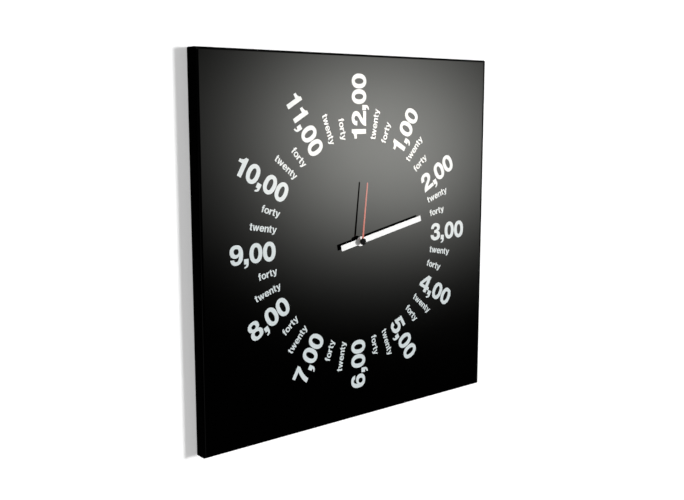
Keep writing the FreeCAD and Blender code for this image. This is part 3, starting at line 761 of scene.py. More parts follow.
@dataclass(frozen=True)
class Moulded(Finish):
    """Injection-moulded plastic.

    Attributes:
        grain: Size of the tool's texture.
        depth: Its depth.
        rubbed: Colour of edges that handling has polished.
        wear: Width of those edges.
        polish: How much smoother they are.
        dust: Colour of what settles on it.
        dust_cover: How much of an upward face the dust hides at most.
    """

    grain: float = 0.25 * MM
    depth: float = 9e-6
    rubbed: Colour = (0.06, 0.06, 0.06)
    wear: float = 0.25 * MM
    polish: float = 0.12
    dust: Colour = (0.32, 0.30, 0.27)
    dust_cover: float = 0.22

    def dress(self, wiring: Wiring) -> Coat:
        """Adds tool grain, flow marks, polished edges and dust."""
        grain = wiring.effect(Effect.GRAIN, Size=self.grain, Depth=self.depth)
        edge = wiring.mask(Effect.WEAR, Radius=self.wear, Breakup=1.4 * MM)
        fall = wiring.mask(Effect.DUST, Size=3 * MM, Cover=self.dust_cover)
        base = wiring.blend(edge, self.tones(wiring, size=9 * MM, spread=0.12), self.rubbed)
        gloss = self.gloss(wiring, size=6 * MM, spread=0.18)
        rough = wiring.value("MULTIPLY_ADD", edge, -self.polish, gloss)
        return {"Base Color": wiring.blend(fall, base, self.dust),
                "Roughness": wiring.value("ADD", rough, fall, clamp=True),
                "Normal": grain.outputs["Normal"]}


@dataclass(frozen=True)
class ToolMarked(Finish):
    """Metal that shows the marks of its making and has dulled in patches.

    Attributes:
        stain: Colour in the marks and where it has dulled.
        marks: Which marks they are.
        pitch: Their spacing.
        depth: Their depth.
        stained: How much of the stain they show.
        patch: Size of the dull patches.
        contrast: How clearly those stand out.
        dulling: How far their roughness lies from the mean, at most.
    """

    stain: Colour = (0.25, 0.24, 0.23)
    marks: Effect = Effect.ROLLING
    pitch: float = 0.16 * MM
    depth: float = 3e-6
    stained: float = 0.6
    patch: float = 4 * MM
    contrast: float = 1.5
    dulling: float = 0.08

    def dress(self, wiring: Wiring) -> Coat:
        """Adds the marks and the dull patches."""
        marks = wiring.effect(self.marks, Pitch=self.pitch, Depth=self.depth)
        dull = wiring.mask(Effect.DRIFT, Size=self.patch, Contrast=self.contrast)
        shade = wiring.product(marks.outputs["Mask"], self.stained, dull)
        rough = wiring.value("MULTIPLY_ADD", dull, 2.0 * self.dulling,
                             self.roughness - self.dulling)
        return {"Base Color": wiring.blend(shade, self.colour, self.stain),
                "Roughness": rough, "Normal": marks.outputs["Normal"]}


@dataclass(frozen=True)
class Rolled(ToolMarked):
    """Strip or plate metal with rolling lines."""


@dataclass(frozen=True)
class Turned(ToolMarked):
    """Metal turned round the hands' axis, bare or plated, with bright edges.

    Attributes:
        bright: Colour of rubbed edges.
        wear: Width of those edges.
    """

    stain: Colour = (0.30, 0.22, 0.10)
    marks: Effect = Effect.TURNING
    pitch: float = 0.10 * MM
    stained: float = 0.45
    patch: float = 3 * MM
    contrast: float = 1.4
    dulling: float = 0.07
    bright: Colour = (0.8, 0.7, 0.5)
    wear: float = 0.15 * MM

    def dress(self, wiring: Wiring) -> Coat:
        """Adds the bright edges to the marks and the dull patches."""
        coat = super().dress(wiring)
        edge = wiring.mask(Effect.WEAR, Radius=self.wear, Breakup=0.6 * MM)
        return coat | {"Base Color": wiring.blend(edge, coat["Base Color"], self.bright)}


@dataclass(frozen=True)
class Winding(Finish):
    """Enamelled copper wire wound in even turns along X.

    Attributes:
        wire: Diameter of the wire with its enamel.
        shadow: Colour between two turns.
        wander: Waves per metre of the turns' wander.
        lit: Heights on a turn where its own colour starts and is full.
    """

    wire: float = 0.11 * MM
    shadow: Colour = (0.18, 0.05, 0.02)
    wander: float = 400.0
    lit: Span = (0.0, 0.5)

    def dress(self, wiring: Wiring) -> Coat:
        """Adds the turns, with a slight wander where they cross."""
        place = wiring.place()
        shift = wiring.product(wiring.noise(place, self.wander), 0.5 * self.wire)
        along = wiring.value("ADD", wiring.axes(place)[0], shift)
        turn = wiring.value("ABSOLUTE",
                            wiring.value("SINE", wiring.product(along, math.pi / self.wire)))
        lit = wiring.rise(turn, *self.lit)
        return {"Base Color": wiring.blend(lit, self.shadow, self.colour),
                "Roughness": self.gloss(wiring, size=1 * MM, spread=0.2),
                "Normal": wiring.bump(turn, 0.5 * self.wire)}


@dataclass(frozen=True)
class Laminate(Finish):
    """Glass-fibre board with tracks under green solder resist.

    Attributes:
        track: Colour of the resist over copper.
        lane: Spacing of the tracks.
        bank: Distances from a cell's edge, as shares of it, where a track starts and is full.
        copper: Thickness of the tracks.
    """

    track: Colour = (0.05, 0.22, 0.08)
    lane: float = 1.27 * MM
    bank: Span = (0.16, 0.10)
    copper: float = 0.03 * MM

    def dress(self, wiring: Wiring) -> Coat:
        """Adds the tracks as slightly raised lanes and the weave of the glass."""
        cells = wiring.add("TexVoronoi", feature="DISTANCE_TO_EDGE", distance="MANHATTAN")
        wiring.feed(cells.inputs["Vector"], wiring.place())
        wiring.feed(cells.inputs["Scale"], 1.0 / (2.0 * self.lane))
        tracks = wiring.rise(cells.outputs["Distance"], *self.bank)
        weave = wiring.effect(Effect.GRAIN, Size=0.4 * MM, Depth=3e-6)
        tones = self.tones(wiring, size=3 * MM, spread=0.1)
        base = wiring.blend(weave.outputs["Mask"], tones, self.colour)
        return {"Base Color": wiring.blend(tracks, base, self.track),
                "Roughness": self.gloss(wiring, size=2 * MM, spread=0.2),
                "Normal": wiring.bump(tracks, self.copper, weave.outputs["Normal"])}


@dataclass(frozen=True)
class Rubber(Finish):
    """Soft moulded rubber, resin or magnet, with bloom.

    Attributes:
        bloom: Colour of the pale patches.
        grain_rough: How much roughness the grain adds at most.
    """

    bloom: Colour = (0.09, 0.09, 0.09)
    grain_rough: float = 0.1

    def dress(self, wiring: Wiring) -> Coat:
        """Adds a fine grain and a pale bloom."""
        grain = wiring.effect(Effect.GRAIN, Size=0.12 * MM, Depth=6e-6)
        drift = wiring.mask(Effect.DRIFT, Size=4 * MM, Contrast=2.0)
        rough = wiring.value("MULTIPLY_ADD", grain.outputs["Mask"], self.grain_rough,
                             self.roughness)
        return {"Base Color": wiring.blend(drift, self.colour, self.bloom),
                "Roughness": rough, "Normal": grain.outputs["Normal"]}


@dataclass(frozen=True)
class CellWrap(Finish):
    """Printed shrink sleeve of the battery: plain body, pale end band and pole signs.

    Attributes:
        band: Colour of the band at the positive end.
        sign: Colour of the minus sign; the plus is the body's colour.
        band_start: x where the pale band starts.
        rule_back: How far before it the thin rule lies.
        rule_half: Half the rule's width.
        band_edge: How gradually band and rule start.
        sign_reach: Half length of a sign's bars.
        sign_bar: Half width of a sign's bars.
        sign_edge: How gradually the bars start.
        sign_from_middle: How far each sign lies from the middle.
    """

    band: Colour = (0.72, 0.73, 0.74)
    sign: Colour = (0.86, 0.86, 0.84)
    band_start: float = 8.5 * MM
    rule_back: float = 1.6 * MM
    rule_half: float = 0.35 * MM
    band_edge: float = 0.05 * MM
    sign_reach: float = 2.0 * MM
    sign_bar: float = 0.45 * MM
    sign_edge: float = 0.04 * MM
    sign_from_middle: float = 18.5 * MM

    def bar(self, wiring: Wiring, across: Term, along: Term) -> Socket:
        """Marks one bar of a sign.

        Args:
            wiring: The material's wiring.
            across: Distance from the bar's centre line.
            along: Distance from the bar's middle.

        Returns:
            1 on the bar.
        """
        thin, long = (wiring.rise(reach, limit + self.sign_edge, limit - self.sign_edge)
                      for reach, limit in ((across, self.sign_bar), (along, self.sign_reach)))
        return wiring.product(thin, long)

    def dress(self, wiring: Wiring) -> Coat:
        """Adds the band, the thin rule beside it, the signs and the sleeve's sheen."""
        x, _, z = wiring.axes(wiring.place())
        low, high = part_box("battery_can")
        height = wiring.gap(z, (low.z + high.z) / 2.0)
        plus = wiring.gap(x, self.sign_from_middle)
        minus = wiring.gap(x, -self.sign_from_middle)
        cross = wiring.value("MAXIMUM", self.bar(wiring, height, plus),
                             self.bar(wiring, plus, height))
        banded = wiring.rise(x, self.band_start - self.band_edge,
                             self.band_start + self.band_edge)
        ruled = wiring.rise(wiring.gap(x, self.band_start - self.rule_back),
                            self.rule_half + self.band_edge, self.rule_half - self.band_edge)
        body = wiring.blend(ruled, self.tones(wiring, size=12 * MM, spread=0.06), self.band)
        body = wiring.blend(self.bar(wiring, height, minus), body, self.sign)
        band = wiring.blend(cross, self.band, self.colour)
        film = wiring.effect(Effect.PEEL, Size=1.5 * MM, Depth=2e-6)
        return {"Base Color": wiring.blend(banded, body, band),
                "Roughness": self.gloss(wiring, size=5 * MM, spread=0.25),
                "Normal": film.outputs["Normal"]}


FINISHES: dict[Slot, Finish] = {
    Slot.PANEL: PanelLacquer((0.0002, 0.0002, 0.0002), roughness=0.055),
    Slot.PRINT: PrintedInk((0.70, 0.765, 0.775), roughness=0.10, ior=1.65, specular=1.0),
    Slot.HOUR_HAND: Lacquer((0.94, 0.94, 0.93), roughness=0.12, peel_size=1.2 * MM),
    Slot.NEEDLE: Lacquer((0.50, 0.095, 0.06), roughness=0.12, specular=0.8, peel_size=0.8 * MM),
    Slot.HUB_CAP: Moulded((0.006, 0.006, 0.006), roughness=0.50, specular=0.2,
                          grain=0.4 * MM, depth=2e-6, rubbed=(0.02, 0.02, 0.02)),
    Slot.PLATED: Turned((0.045, 0.045, 0.047), roughness=0.32, metallic=1.0,
                        stain=(0.02, 0.02, 0.02), bright=(0.25, 0.25, 0.25)),
    Slot.WASHER: Rubber((0.016, 0.016, 0.016), roughness=0.72),
    Slot.HOUSING: Moulded((0.018, 0.018, 0.019), roughness=0.46),
    Slot.KNOB: Moulded((0.022, 0.022, 0.023), roughness=0.38, rubbed=(0.09, 0.09, 0.09)),
    Slot.WHEEL: Moulded((0.66, 0.64, 0.56), roughness=0.36, grain=0.15 * MM, depth=3e-6,
                        rubbed=(0.74, 0.72, 0.66), wear=0.06 * MM),
    Slot.BRIDGE: Moulded((0.50, 0.51, 0.50), roughness=0.42, rubbed=(0.60, 0.61, 0.60)),
    Slot.BOBBIN: Moulded((0.62, 0.60, 0.55), roughness=0.40, rubbed=(0.70, 0.68, 0.62)),
    Slot.PIPE: Turned((0.62, 0.61, 0.57), roughness=0.24, metallic=1.0,
                      stain=(0.40, 0.39, 0.35), bright=(0.80, 0.79, 0.76)),
    Slot.BRASS: Turned((0.74, 0.53, 0.24), roughness=0.26, metallic=1.0,
                       stain=(0.42, 0.28, 0.11), bright=(0.88, 0.70, 0.40)),
    Slot.SHAFT: Turned((0.56, 0.56, 0.57), roughness=0.20, metallic=1.0,
                       stain=(0.35, 0.35, 0.35), bright=(0.75, 0.75, 0.76)),
    Slot.IRON: Rolled((0.36, 0.36, 0.37), roughness=0.38, metallic=1.0),
    Slot.MAGNET: Rubber((0.045, 0.043, 0.042), roughness=0.50, bloom=(0.08, 0.078, 0.075)),
    Slot.WINDING: Winding((0.60, 0.20, 0.07), roughness=0.28, metallic=1.0),
    Slot.BOARD: Laminate((0.02, 0.13, 0.04), roughness=0.32),
    Slot.CHIP: Rubber((0.012, 0.012, 0.012), roughness=0.30, bloom=(0.025, 0.025, 0.025)),
    Slot.CRYSTAL: Rolled((0.60, 0.60, 0.59), roughness=0.26, metallic=1.0,
                         stain=(0.42, 0.42, 0.40)),
    Slot.CONTACT: Rolled((0.66, 0.64, 0.60), roughness=0.22, metallic=1.0,
                         stain=(0.46, 0.43, 0.38)),
    Slot.CELL_WRAP: CellWrap((0.025, 0.075, 0.16), roughness=0.30),
    Slot.CELL_POLE: Turned((0.64, 0.63, 0.61), roughness=0.24, metallic=1.0,
                           stain=(0.45, 0.44, 0.42), bright=(0.80, 0.79, 0.78)),
}


# ---- Meshes ------------------------------------------------------------------

def put(name: str, data: bpy.types.ID) -> bpy.types.Object:
    """Makes an object and puts it in the scene.

    Args:
        name: Its name.
        data: Its mesh, light or camera.

    Returns:
        The object.
    """
    made = bpy.data.objects.new(name, data)
    bpy.context.scene.collection.objects.link(made)
    return made


def put_mesh(name: str, mesh: bmesh.types.BMesh) -> bpy.types.Object:
    """Puts a finished bmesh in the scene.

    Args:
        name: The object's name.
        mesh: Its mesh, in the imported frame. It is freed here.

    Returns:
        The object.
    """
    data = bpy.data.meshes.new(name)
    mesh.to_mesh(data)
    mesh.free()
    return put(name, data)


def add_piece(name: str, mesh: bmesh.types.BMesh, slot: Slot, body: str) -> bpy.types.Object:
    """Turns a finished bmesh into a piece that rides on a body.

    Args:
        name: The piece's name.
        mesh: Its mesh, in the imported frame. It is freed here.
        slot: The finish it takes.
        body: The body it moves with.

    Returns:
        The piece.
    """
    bmesh.ops.recalc_face_normals(mesh, faces=mesh.faces)
    piece = put_mesh(name, mesh)
    piece.data.materials.append(bpy.data.materials[slot.value])
    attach(piece, body)
    LOG.info("%s: %d faces, on %s", name, len(piece.data.polygons), body)
    return piece


def add_plate(mesh: bmesh.types.BMesh, outlines: Sequence[Sequence[Point]], height: float,
              place: Matrix) -> None:
    """Adds a flat plate with square edges.

    Args:
        mesh: The bmesh that it goes into.
        outlines: Closed outlines in the plate's plane; one inside another is a hole.
        height: Thickness, along the plane's own z.
        place: From the plate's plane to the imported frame.
    """
    rims: list[bmesh.types.BMEdge] = []
    for outline in outlines:
        corners = [mesh.verts.new(place @ Vector((x, y, 0.0))) for x, y in outline]
        rims += [mesh.edges.new((a, b)) for a, b in zip(corners, corners[1:] + corners[:1])]
    filled = bmesh.ops.triangle_fill(mesh, use_beauty=True, use_dissolve=False, edges=rims)
    base = [part for part in filled["geom"] if isinstance(part, bmesh.types.BMFace)]
    raised = bmesh.ops.extrude_face_region(mesh, geom=base, use_keep_orig=True)
    moved = [part for part in raised["geom"] if isinstance(part, bmesh.types.BMVert)]
    shift = (place.to_3x3() @ Vector((0.0, 0.0, 1.0))).normalized() * height
    bmesh.ops.translate(mesh, vec=shift, verts=moved)


# ---- Dial print --------------------------------------------------------------

def follow(path: str, steps: int, same: float = 1e-6) -> list[list[Point]]:
    """Reads an outline written as M, L, C and Z commands.

    Args:
        path: The commands and coordinates, separated by spaces.
        steps: Points along each curve.
        same: How near its start an outline's last point is left out.

    Returns:
        One closed outline for each Z.
    """
    words = iter(path.split())
    outlines: list[list[Point]] = []
    outline: list[Point] = []

    def pairs(count: int) -> Iterator[Vector]:
        """Reads the next points."""
        for _ in range(count):
            yield Vector((float(next(words)), float(next(words))))

    for command in words:
        if command == "Z":
            closed = (Vector(outline[0]) - Vector(outline[-1])).length < same
            outlines.append(outline[:-1] if closed else outline)
            outline = []
        elif command == "C":
            start = Vector(outline[-1])
            first, second, end = pairs(3)
            for step in range(1, steps + 1):
                t = step / steps
                s = 1.0 - t
                spot = s**3 * start + 3*s*s*t * first + 3*s*t*t * second + t**3 * end
                outline.append(tuple(spot))
        else:
            outline.append(tuple(next(pairs(1))))
    return outlines


def oval(centre: Point, across: float, tall: float, fullness: float = 0.60) -> str:
    """Writes a closed oval as four curves.

    Args:
        centre: Its middle.
        across: Half its width.
        tall: Half its height.
        fullness: 0.552 for an ellipse, more for squarer shoulders.

    Returns:
        The outline's commands.
    """
    x, y = centre
    along, up = across * fullness, tall * fullness
    return (f"M {x} {y + tall} C {x + along} {y + tall} {x + across} {y + up} {x + across} {y} "
            f"C {x + across} {y - up} {x + along} {y - tall} {x} {y - tall} "
            f"C {x - along} {y - tall} {x - across} {y - up} {x - across} {y} "
            f"C {x - across} {y + up} {x - along} {y + tall} {x} {y + tall} Z ")


@dataclass(frozen=True)
class Glyph:
    """One character, drawn with the figures' height as 100.

    Attributes:
        width: Width of the drawing.
        path: Its outlines.
    """

    width: float
    path: str


SIX = ("M 75 72.5 C 73 91 60 101 41.5 101 C 15 101 0 82 0 48 C 0 16 14.5 -1 40 -1 "
       "C 63 -1 78.5 12.5 78.5 33 C 78.5 53 65.5 65.5 47 65.5 C 37 65.5 29 61.5 24.8 54.5 "
       "C 25.5 73.5 30.5 83 41 83 C 47.5 83 51 79.5 52 72.5 Z ")

GLYPHS: dict[str, Glyph] = {
    "0": Glyph(78, oval((39, 50), 39, 51) + oval((39, 50), 15, 30)),
    "1": Glyph(50, "M 50 0 L 50 100 L 31 100 C 28.5 88 17 81.5 0 81.5 "
                   "L 0 65 L 24.5 65 L 24.5 0 Z"),
    "2": Glyph(80, "M 0 0 L 80 0 L 80 20.5 L 36 20.5 C 41 27 51 33.5 60 39.5 "
                   "C 72 48 79.5 57 79.5 70.5 C 79.5 89 63 101 41 101 C 17 101 3 86 3 61.5 "
                   "L 27 61.5 C 27 75 31.5 81.5 41 81.5 C 49.5 81.5 54.5 76.5 54.5 69.5 "
                   "C 54.5 61.5 49 56 39 49.5 C 20 37.5 2 26 0 0 Z"),
    "3": Glyph(78, "M 2 67.5 C 2.5 88 17 101 39 101 C 61 101 75 90.5 75 74 "
                   "C 75 63.5 69.5 56.5 60.5 53 C 72 49.5 78 41.5 78 29.5 C 78 10.5 62 -1 38.5 -1 "
                   "C 15.5 -1 0 11 0 32 L 24.5 32 C 25 23 30 18.5 38.5 18.5 "
                   "C 47.5 18.5 53 23 53 30.5 C 53 38.5 46.5 42.5 36 42.5 L 29 42.5 L 29 60 "
                   "L 35.5 60 C 45.5 60 51 64 51 71 C 51 77.5 46.5 81.5 39 81.5 "
                   "C 30.5 81.5 26 77 25.5 67.5 Z"),
    "4": Glyph(84, "M 46 0 L 71 0 L 71 20.5 L 84 20.5 L 84 39 L 71 39 L 71 100 L 44 100 "
                   "L 0 40.5 L 0 20.5 L 46 20.5 Z M 47 39 L 47 72 L 22.5 39 Z"),
    "5": Glyph(79.5, "M 9.5 100 L 74 100 L 74 80.5 L 28.5 80.5 L 25.5 63.5 "
                     "C 30 66.5 35.5 68.2 42.5 68.2 C 64 68.2 79.5 54.5 79.5 34 "
                     "C 79.5 13 63 -1 38.5 -1 C 15 -1 1 10.5 0 28.5 L 25 28.5 "
                     "C 26 22 31 18.3 38 18.3 C 48 18.3 54.5 24 54.5 33.5 C 54.5 43 48 49 38.5 49 "
                     "C 32 49 27.5 46.8 24.5 42.5 L 1.5 43.5 Z"),
    "6": Glyph(78.5, SIX + oval((40.5, 32.5), 14.5, 15)),
    "7": Glyph(75, "M 0 100 L 75 100 L 75 81 C 58 60 43 34 40 0 L 14 0 "
                   "C 17 30 29 57 47 79 L 0 79 Z"),
    "8": Glyph(79, "M 39.5 101 C 61.5 101 75.5 90 75.5 73.5 C 75.5 63.5 70.5 56.5 61.5 53 "
                   "C 72.5 49 79 41 79 29 C 79 10.5 63 -1 39.5 -1 C 16 -1 0 10.5 0 29 "
                   "C 0 41 6.5 49 17.5 53 C 8.5 56.5 3.5 63.5 3.5 73.5 "
                   "C 3.5 90 17.5 101 39.5 101 Z "
                   + oval((39.5, 72.5), 13.5, 11) + oval((39.5, 29.8), 15.5, 13)),
    ",": Glyph(27, "M 0 26.5 L 27 26.5 L 27 2 C 27 -11 19 -19 1.5 -21 L 1.5 -13 "
                   "C 9 -11.5 13 -7 13.5 0 L 0 0 Z"),
    "t": Glyph(44, "M 10 92 L 31.5 92 L 31.5 73 L 44 73 L 44 58.5 L 31.5 58.5 L 31.5 23 "
                   "C 31.5 17 34 14.8 39.5 14.8 L 44 15 L 44 -0.5 C 41 -1 37 -1.2 33 -1.2 "
                   "C 17 -1.2 10 4.5 10 17.5 L 10 58.5 L 0 58.5 L 0 73 L 10 73 Z"),
    "w": Glyph(106, "M 0 73 L 22.5 73 L 33 27 L 43.5 73 L 62.5 73 L 73 27 L 83.5 73 L 106 73 "
                    "L 84.5 0 L 63.5 0 L 53 44 L 42.5 0 L 21.5 0 Z"),
    "e": Glyph(76, "M 75.8 30 L 24.5 30 C 25.5 20 30.5 14.5 39.5 14.5 C 46 14.5 50.5 17 52.5 21.5 "
                   "L 74 21.5 C 69.5 6.5 57 -1.3 39 -1.3 C 14.5 -1.3 0 12.5 0 36 "
                   "C 0 59.5 15 74.3 38.5 74.3 C 62.5 74.3 76.5 59 75.8 30 Z "
                   "M 24.8 43.5 L 52 43.5 C 51.2 53.5 47 59 38.8 59 "
                   "C 30.8 59 26 53.5 24.8 43.5 Z"),
    "n": Glyph(68, "M 0 0 L 0 73 L 20.5 73 L 20.5 62.5 C 25 70 32.5 74.5 43 74.5 "
                   "C 59.5 74.5 68 65 68 47 L 68 0 L 46.5 0 L 46.5 43 C 46.5 52 42.5 57 35 57 "
                   "C 26.5 57 21.5 51 21.5 40.5 L 21.5 0 Z"),
    "y": Glyph(76.5, "M 0 73 L 23.5 73 L 39 25 L 54 73 L 76.5 73 L 48.5 -4 "
                     "C 43.5 -17.5 37 -22 23 -22 C 18 -22 13 -21.7 9.5 -21.2 L 9.5 -5 "
                     "C 12 -5.4 14.5 -5.6 17 -5.6 C 24 -5.6 27.5 -3.2 27.5 1.5 "
                     "C 27.5 3.5 26.8 5.5 25.5 9 Z"),
    "f": Glyph(43.5, "M 9.5 0 L 9.5 58.5 L 0 58.5 L 0 73 L 9.5 73 L 9.5 77 "
                     "C 9.5 92.5 17 100 33.5 100 C 37 100 40.5 99.7 43.5 99.2 L 43.5 83.5 "
                     "C 41.5 83.9 39.5 84 37.5 84 C 32.5 84 31 81.8 31 77 L 31 73 L 43 73 "
                     "L 43 58.5 L 31 58.5 L 31 0 Z"),
    "o": Glyph(78, oval((39, 36.5), 39, 37.8, 0.57) + oval((39, 36.5), 17, 21, 0.57)),
    "r": Glyph(46.5, "M 0 0 L 0 73 L 20.5 73 L 20.5 60 C 25 69.5 32.5 74.5 42 74.5 "
                     "C 43.5 74.5 45 74.4 46.5 74 L 46.5 52.5 C 44 53.2 41.5 53.5 38.5 53.5 "
                     "C 27.5 53.5 21.8 47.5 21.8 36 L 21.8 0 Z"),
}


@dataclass
class DialPrint:
    """White print on the panel: twelve hour figures and the words between them.

    Attributes:
        figure_radius: Circle that every hour figure starts or ends on.
        word_radius: Circle that every word starts or ends on.
        figure_height: Height of the hour figures.
        word_x_height: Height of the words' small letters.
        hour_step: Degrees from one hour to the next.
        twenty_lead: Degrees from an hour to its "twenty".
        forty_lead: Degrees from an hour to its "forty".
        turned_from: Bearing from which the lines read towards the middle.
        film: How far the ink stands on the panel.
        sunk: How far its back lies under the panel's face.
        cap_height: Height of the figures in the drawing.
        x_height: Height of the small letters in the drawing.
        digit_cell: Width that every figure takes in the drawing.
        comma_cell: Width that the comma takes there.
        letter_gap: Space between two letters there.
        curve_steps: Points along each curve of a glyph.
    """

    figure_radius: float = 139.0 * MM
    word_radius: float = 139.5 * MM
    figure_height: float = 25.1 * MM
    word_x_height: float = 6.9 * MM
    hour_step: float = 30.0
    twenty_lead: float = 10.6
    forty_lead: float = 18.9
    turned_from: float = 175.0
    film: float = 0.05 * MM
    sunk: float = 0.02 * MM
    cap_height: float = 100.0
    x_height: float = 73.0
    digit_cell: float = 81.0
    comma_cell: float = 34.5
    letter_gap: float = 5.5
    curve_steps: int = 10

    def nine(self) -> Glyph:
        """Draws the nine as the six turned half round."""
        six = GLYPHS["6"]
        turned: list[str] = []
        on_x = True
        for word in six.path.split():
            if word.isalpha():
                turned.append(word)
            else:
                turned.append(str((six.width if on_x else self.cap_height) - float(word)))
                on_x = not on_x
        return Glyph(six.width, " ".join(turned))

    def set_line(self, text: str) -> tuple[list[list[Point]], float]:
        """Sets one line of type.

        Args:
            text: What it says.

        Returns:
            Its outlines, starting at x = 0, and its length.
        """
        outlines: list[list[Point]] = []
        pen = 0.0
        for mark in text:
            glyph = self.nine() if mark == "9" else GLYPHS[mark]
            if mark.isalpha():
                start, step = pen, glyph.width + self.letter_gap
            else:
                step = self.comma_cell if mark == "," else self.digit_cell
                start = pen + (step - glyph.width) / 2.0
            for outline in follow(glyph.path, self.curve_steps):
                outlines.append([(x + start, y) for x, y in outline])
            pen += step
        left = min(x for outline in outlines for x, _ in outline)
        right = max(x for outline in outlines for x, _ in outline)
        return [[(x - left, y) for x, y in outline] for outline in outlines], right - left

    def add_line(self, mesh: bmesh.types.BMesh, text: str, bearing: float, inner: float,
                 scale: float, middle: float) -> None:
        """Lays one line of print along its radius.

        Args:
            mesh: The bmesh that it goes into.
            text: What it says.
            bearing: Degrees clockwise from 12 o'clock.
            inner: Circle that the line starts or ends on.
            scale: Metres for one unit of the drawing.
            middle: The drawing's height that lies on the radius.
        """
        outlines, length = self.set_line(text)
        reading = Reading.OUTWARD if bearing < self.turned_from else Reading.INWARD
        turn = math.radians(bearing)
        along = Vector((math.sin(turn), 0.0, math.cos(turn))) * reading.value
        up = Vector((-along.z, 0.0, along.x))
        first = inner if reading is Reading.OUTWARD else -(inner + length * scale)
        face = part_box("front_panel")[0].y
        start = along * first - up * middle * scale + Vector((0.0, face + self.sunk, 0.0))
        place = Matrix.Identity(4)
        place.col[0] = (*(along * scale), 0.0)
        place.col[1] = (*(up * scale), 0.0)
        place.col[2] = (0.0, -scale, 0.0, 0.0)
        place.col[3] = (*start, 1.0)
        add_plate(mesh, outlines, self.film + self.sunk, place)

    def hour_figures(self) -> bpy.types.Object:
        """Builds the twelve hour figures."""
        mesh = bmesh.new()
        for hour in range(1, 13):
            self.add_line(mesh, f"{hour},00", self.hour_step * (hour % 12), self.figure_radius,
                          self.figure_height / self.cap_height, self.cap_height / 2.0)
        return add_piece("hour_figures", mesh, Slot.PRINT, "root")

    def minute_words(self) -> bpy.types.Object:
        """Builds the twenty-four minute words."""
        mesh = bmesh.new()
        scale = self.word_x_height / self.x_height
        for hour in range(12):
            for text, lead in (("twenty", self.twenty_lead), ("forty", self.forty_lead)):
                self.add_line(mesh, text, self.hour_step * hour + lead, self.word_radius,
                              scale, self.x_height / 2.0)
        return add_piece("minute_words", mesh, Slot.PRINT, "root")

    def build(self) -> list[bpy.types.Object]:
        """Builds the whole print."""
        return [self.hour_figures(), self.minute_words()]


# ---- Moulded marks on the movement -------------------------------------------

@dataclass
class MouldedMarks:
    """Raised signs on the movement's back: poles above the battery, arrows round the knob.

    Attributes:
        height: How far the marks stand proud.
        sunk: How far they run into the cover.
        arm: Half length of the pole signs' bars.
        bar: Half width of the bars and of the arrows' shafts.
        sign_x: Distance of the signs from the centre line.
        sign_above_cell: Distance of the signs above the top of the cell.
        arrow_gap: Air between the knob and the arrows' middle line.
        arrow_from: Where each arrow starts, in degrees from the knob's top.
        arrow_sweep: Degrees that each arrow covers, its head left out.
        arrow_steps: Straight pieces along each edge of an arrow.
        head: Length of an arrow's head.
        flare: Half width of the head, in half widths of the shaft.
    """

    height: float = 0.22 * MM
    sunk: float = 0.05 * MM
    arm: float = 1.7 * MM
    bar: float = 0.35 * MM
    sign_x: float = 22.0 * MM
    sign_above_cell: float = 3.4 * MM
    arrow_gap: float = 1.6 * MM
    arrow_from: float = 20.0
    arrow_sweep: float = 34.0
    arrow_steps: int = 12
    head: float = 1.5 * MM
    flare: float = 2.6

    def add_mark(self, mesh: bmesh.types.BMesh, outline: Sequence[Point], x: float,
                 z: float) -> None:
        """Raises one mark on the cover's back.

        Args:
            mesh: The bmesh that it goes into.
            outline: Its outline, seen from behind.
            x: Where the outline's origin lies.
            z: Its height.
        """
        place = Matrix.Identity(4)
        place.col[0] = (-1.0, 0.0, 0.0, 0.0)
        place.col[1] = (0.0, 0.0, 1.0, 0.0)
        place.col[2] = (0.0, 1.0, 0.0, 0.0)
        place.col[3] = (x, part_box("rear_cover")[1].y - self.sunk, z, 1.0)
        add_plate(mesh, [outline], self.height + self.sunk, place)

    def pole_signs(self) -> bpy.types.Object:
        """Builds the plus and the minus above the battery."""
        mesh = bmesh.new()
        a, b = self.arm, self.bar
        plus = [(-a, -b), (-b, -b), (-b, -a), (b, -a), (b, -b), (a, -b),
                (a, b), (b, b), (b, a), (-b, a), (-b, b), (-a, b)]
        minus = [(-a, -b), (a, -b), (a, b), (-a, b)]
        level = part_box("battery_can")[1].z + self.sign_above_cell
        self.add_mark(mesh, plus, self.sign_x, level)
        self.add_mark(mesh, minus, -self.sign_x, level)
        return add_piece("pole_signs", mesh, Slot.HOUSING, "root")

    def arrow(self, radius: float, start: float, sweep: float) -> list[Point]:
        """Draws a curved arrow.

        Args:
            radius: Its radius.
            start: Where it starts, in degrees.
            sweep: Degrees that its shaft covers, negative for clockwise.

        Returns:
            The outline.
        """
        def spot(turn: float, reach: float) -> Point:
            """Gives the point at an angle and a distance from the middle."""
            return math.cos(turn) * reach, math.sin(turn) * reach

        turns = [math.radians(start + sweep * step / self.arrow_steps)
                 for step in range(self.arrow_steps + 1)]
        end = turns[-1]
        point = end + math.copysign(self.head / radius, sweep)
        flare = self.flare * self.bar
        tip = [spot(end, radius + flare), spot(point, radius), spot(end, radius - flare)]
        outer = [spot(turn, radius + self.bar) for turn in turns]
        return outer + tip + [spot(turn, radius - self.bar) for turn in reversed(turns)]

    def setting_arrows(self) -> bpy.types.Object:
        """Builds the two arrows round the setting knob."""
        mesh = bmesh.new()
        low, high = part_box("setting_knob")
        centre = (low + high) / 2.0
        radius = (high.z - low.z) / 2.0 + self.arrow_gap
        top = 90.0
        for start, sweep in ((top - self.arrow_from, -self.arrow_sweep),
                             (top + self.arrow_from, self.arrow_sweep)):
            self.add_mark(mesh, self.arrow(radius, start, sweep), centre.x, centre.z)
        return add_piece("setting_arrows", mesh, Slot.HOUSING, "root")

    def build(self) -> list[bpy.types.Object]:
        """Builds all the marks."""
        return [self.pole_signs(), self.setting_arrows()]


# ---- The clock's own parts ---------------------------------------------------

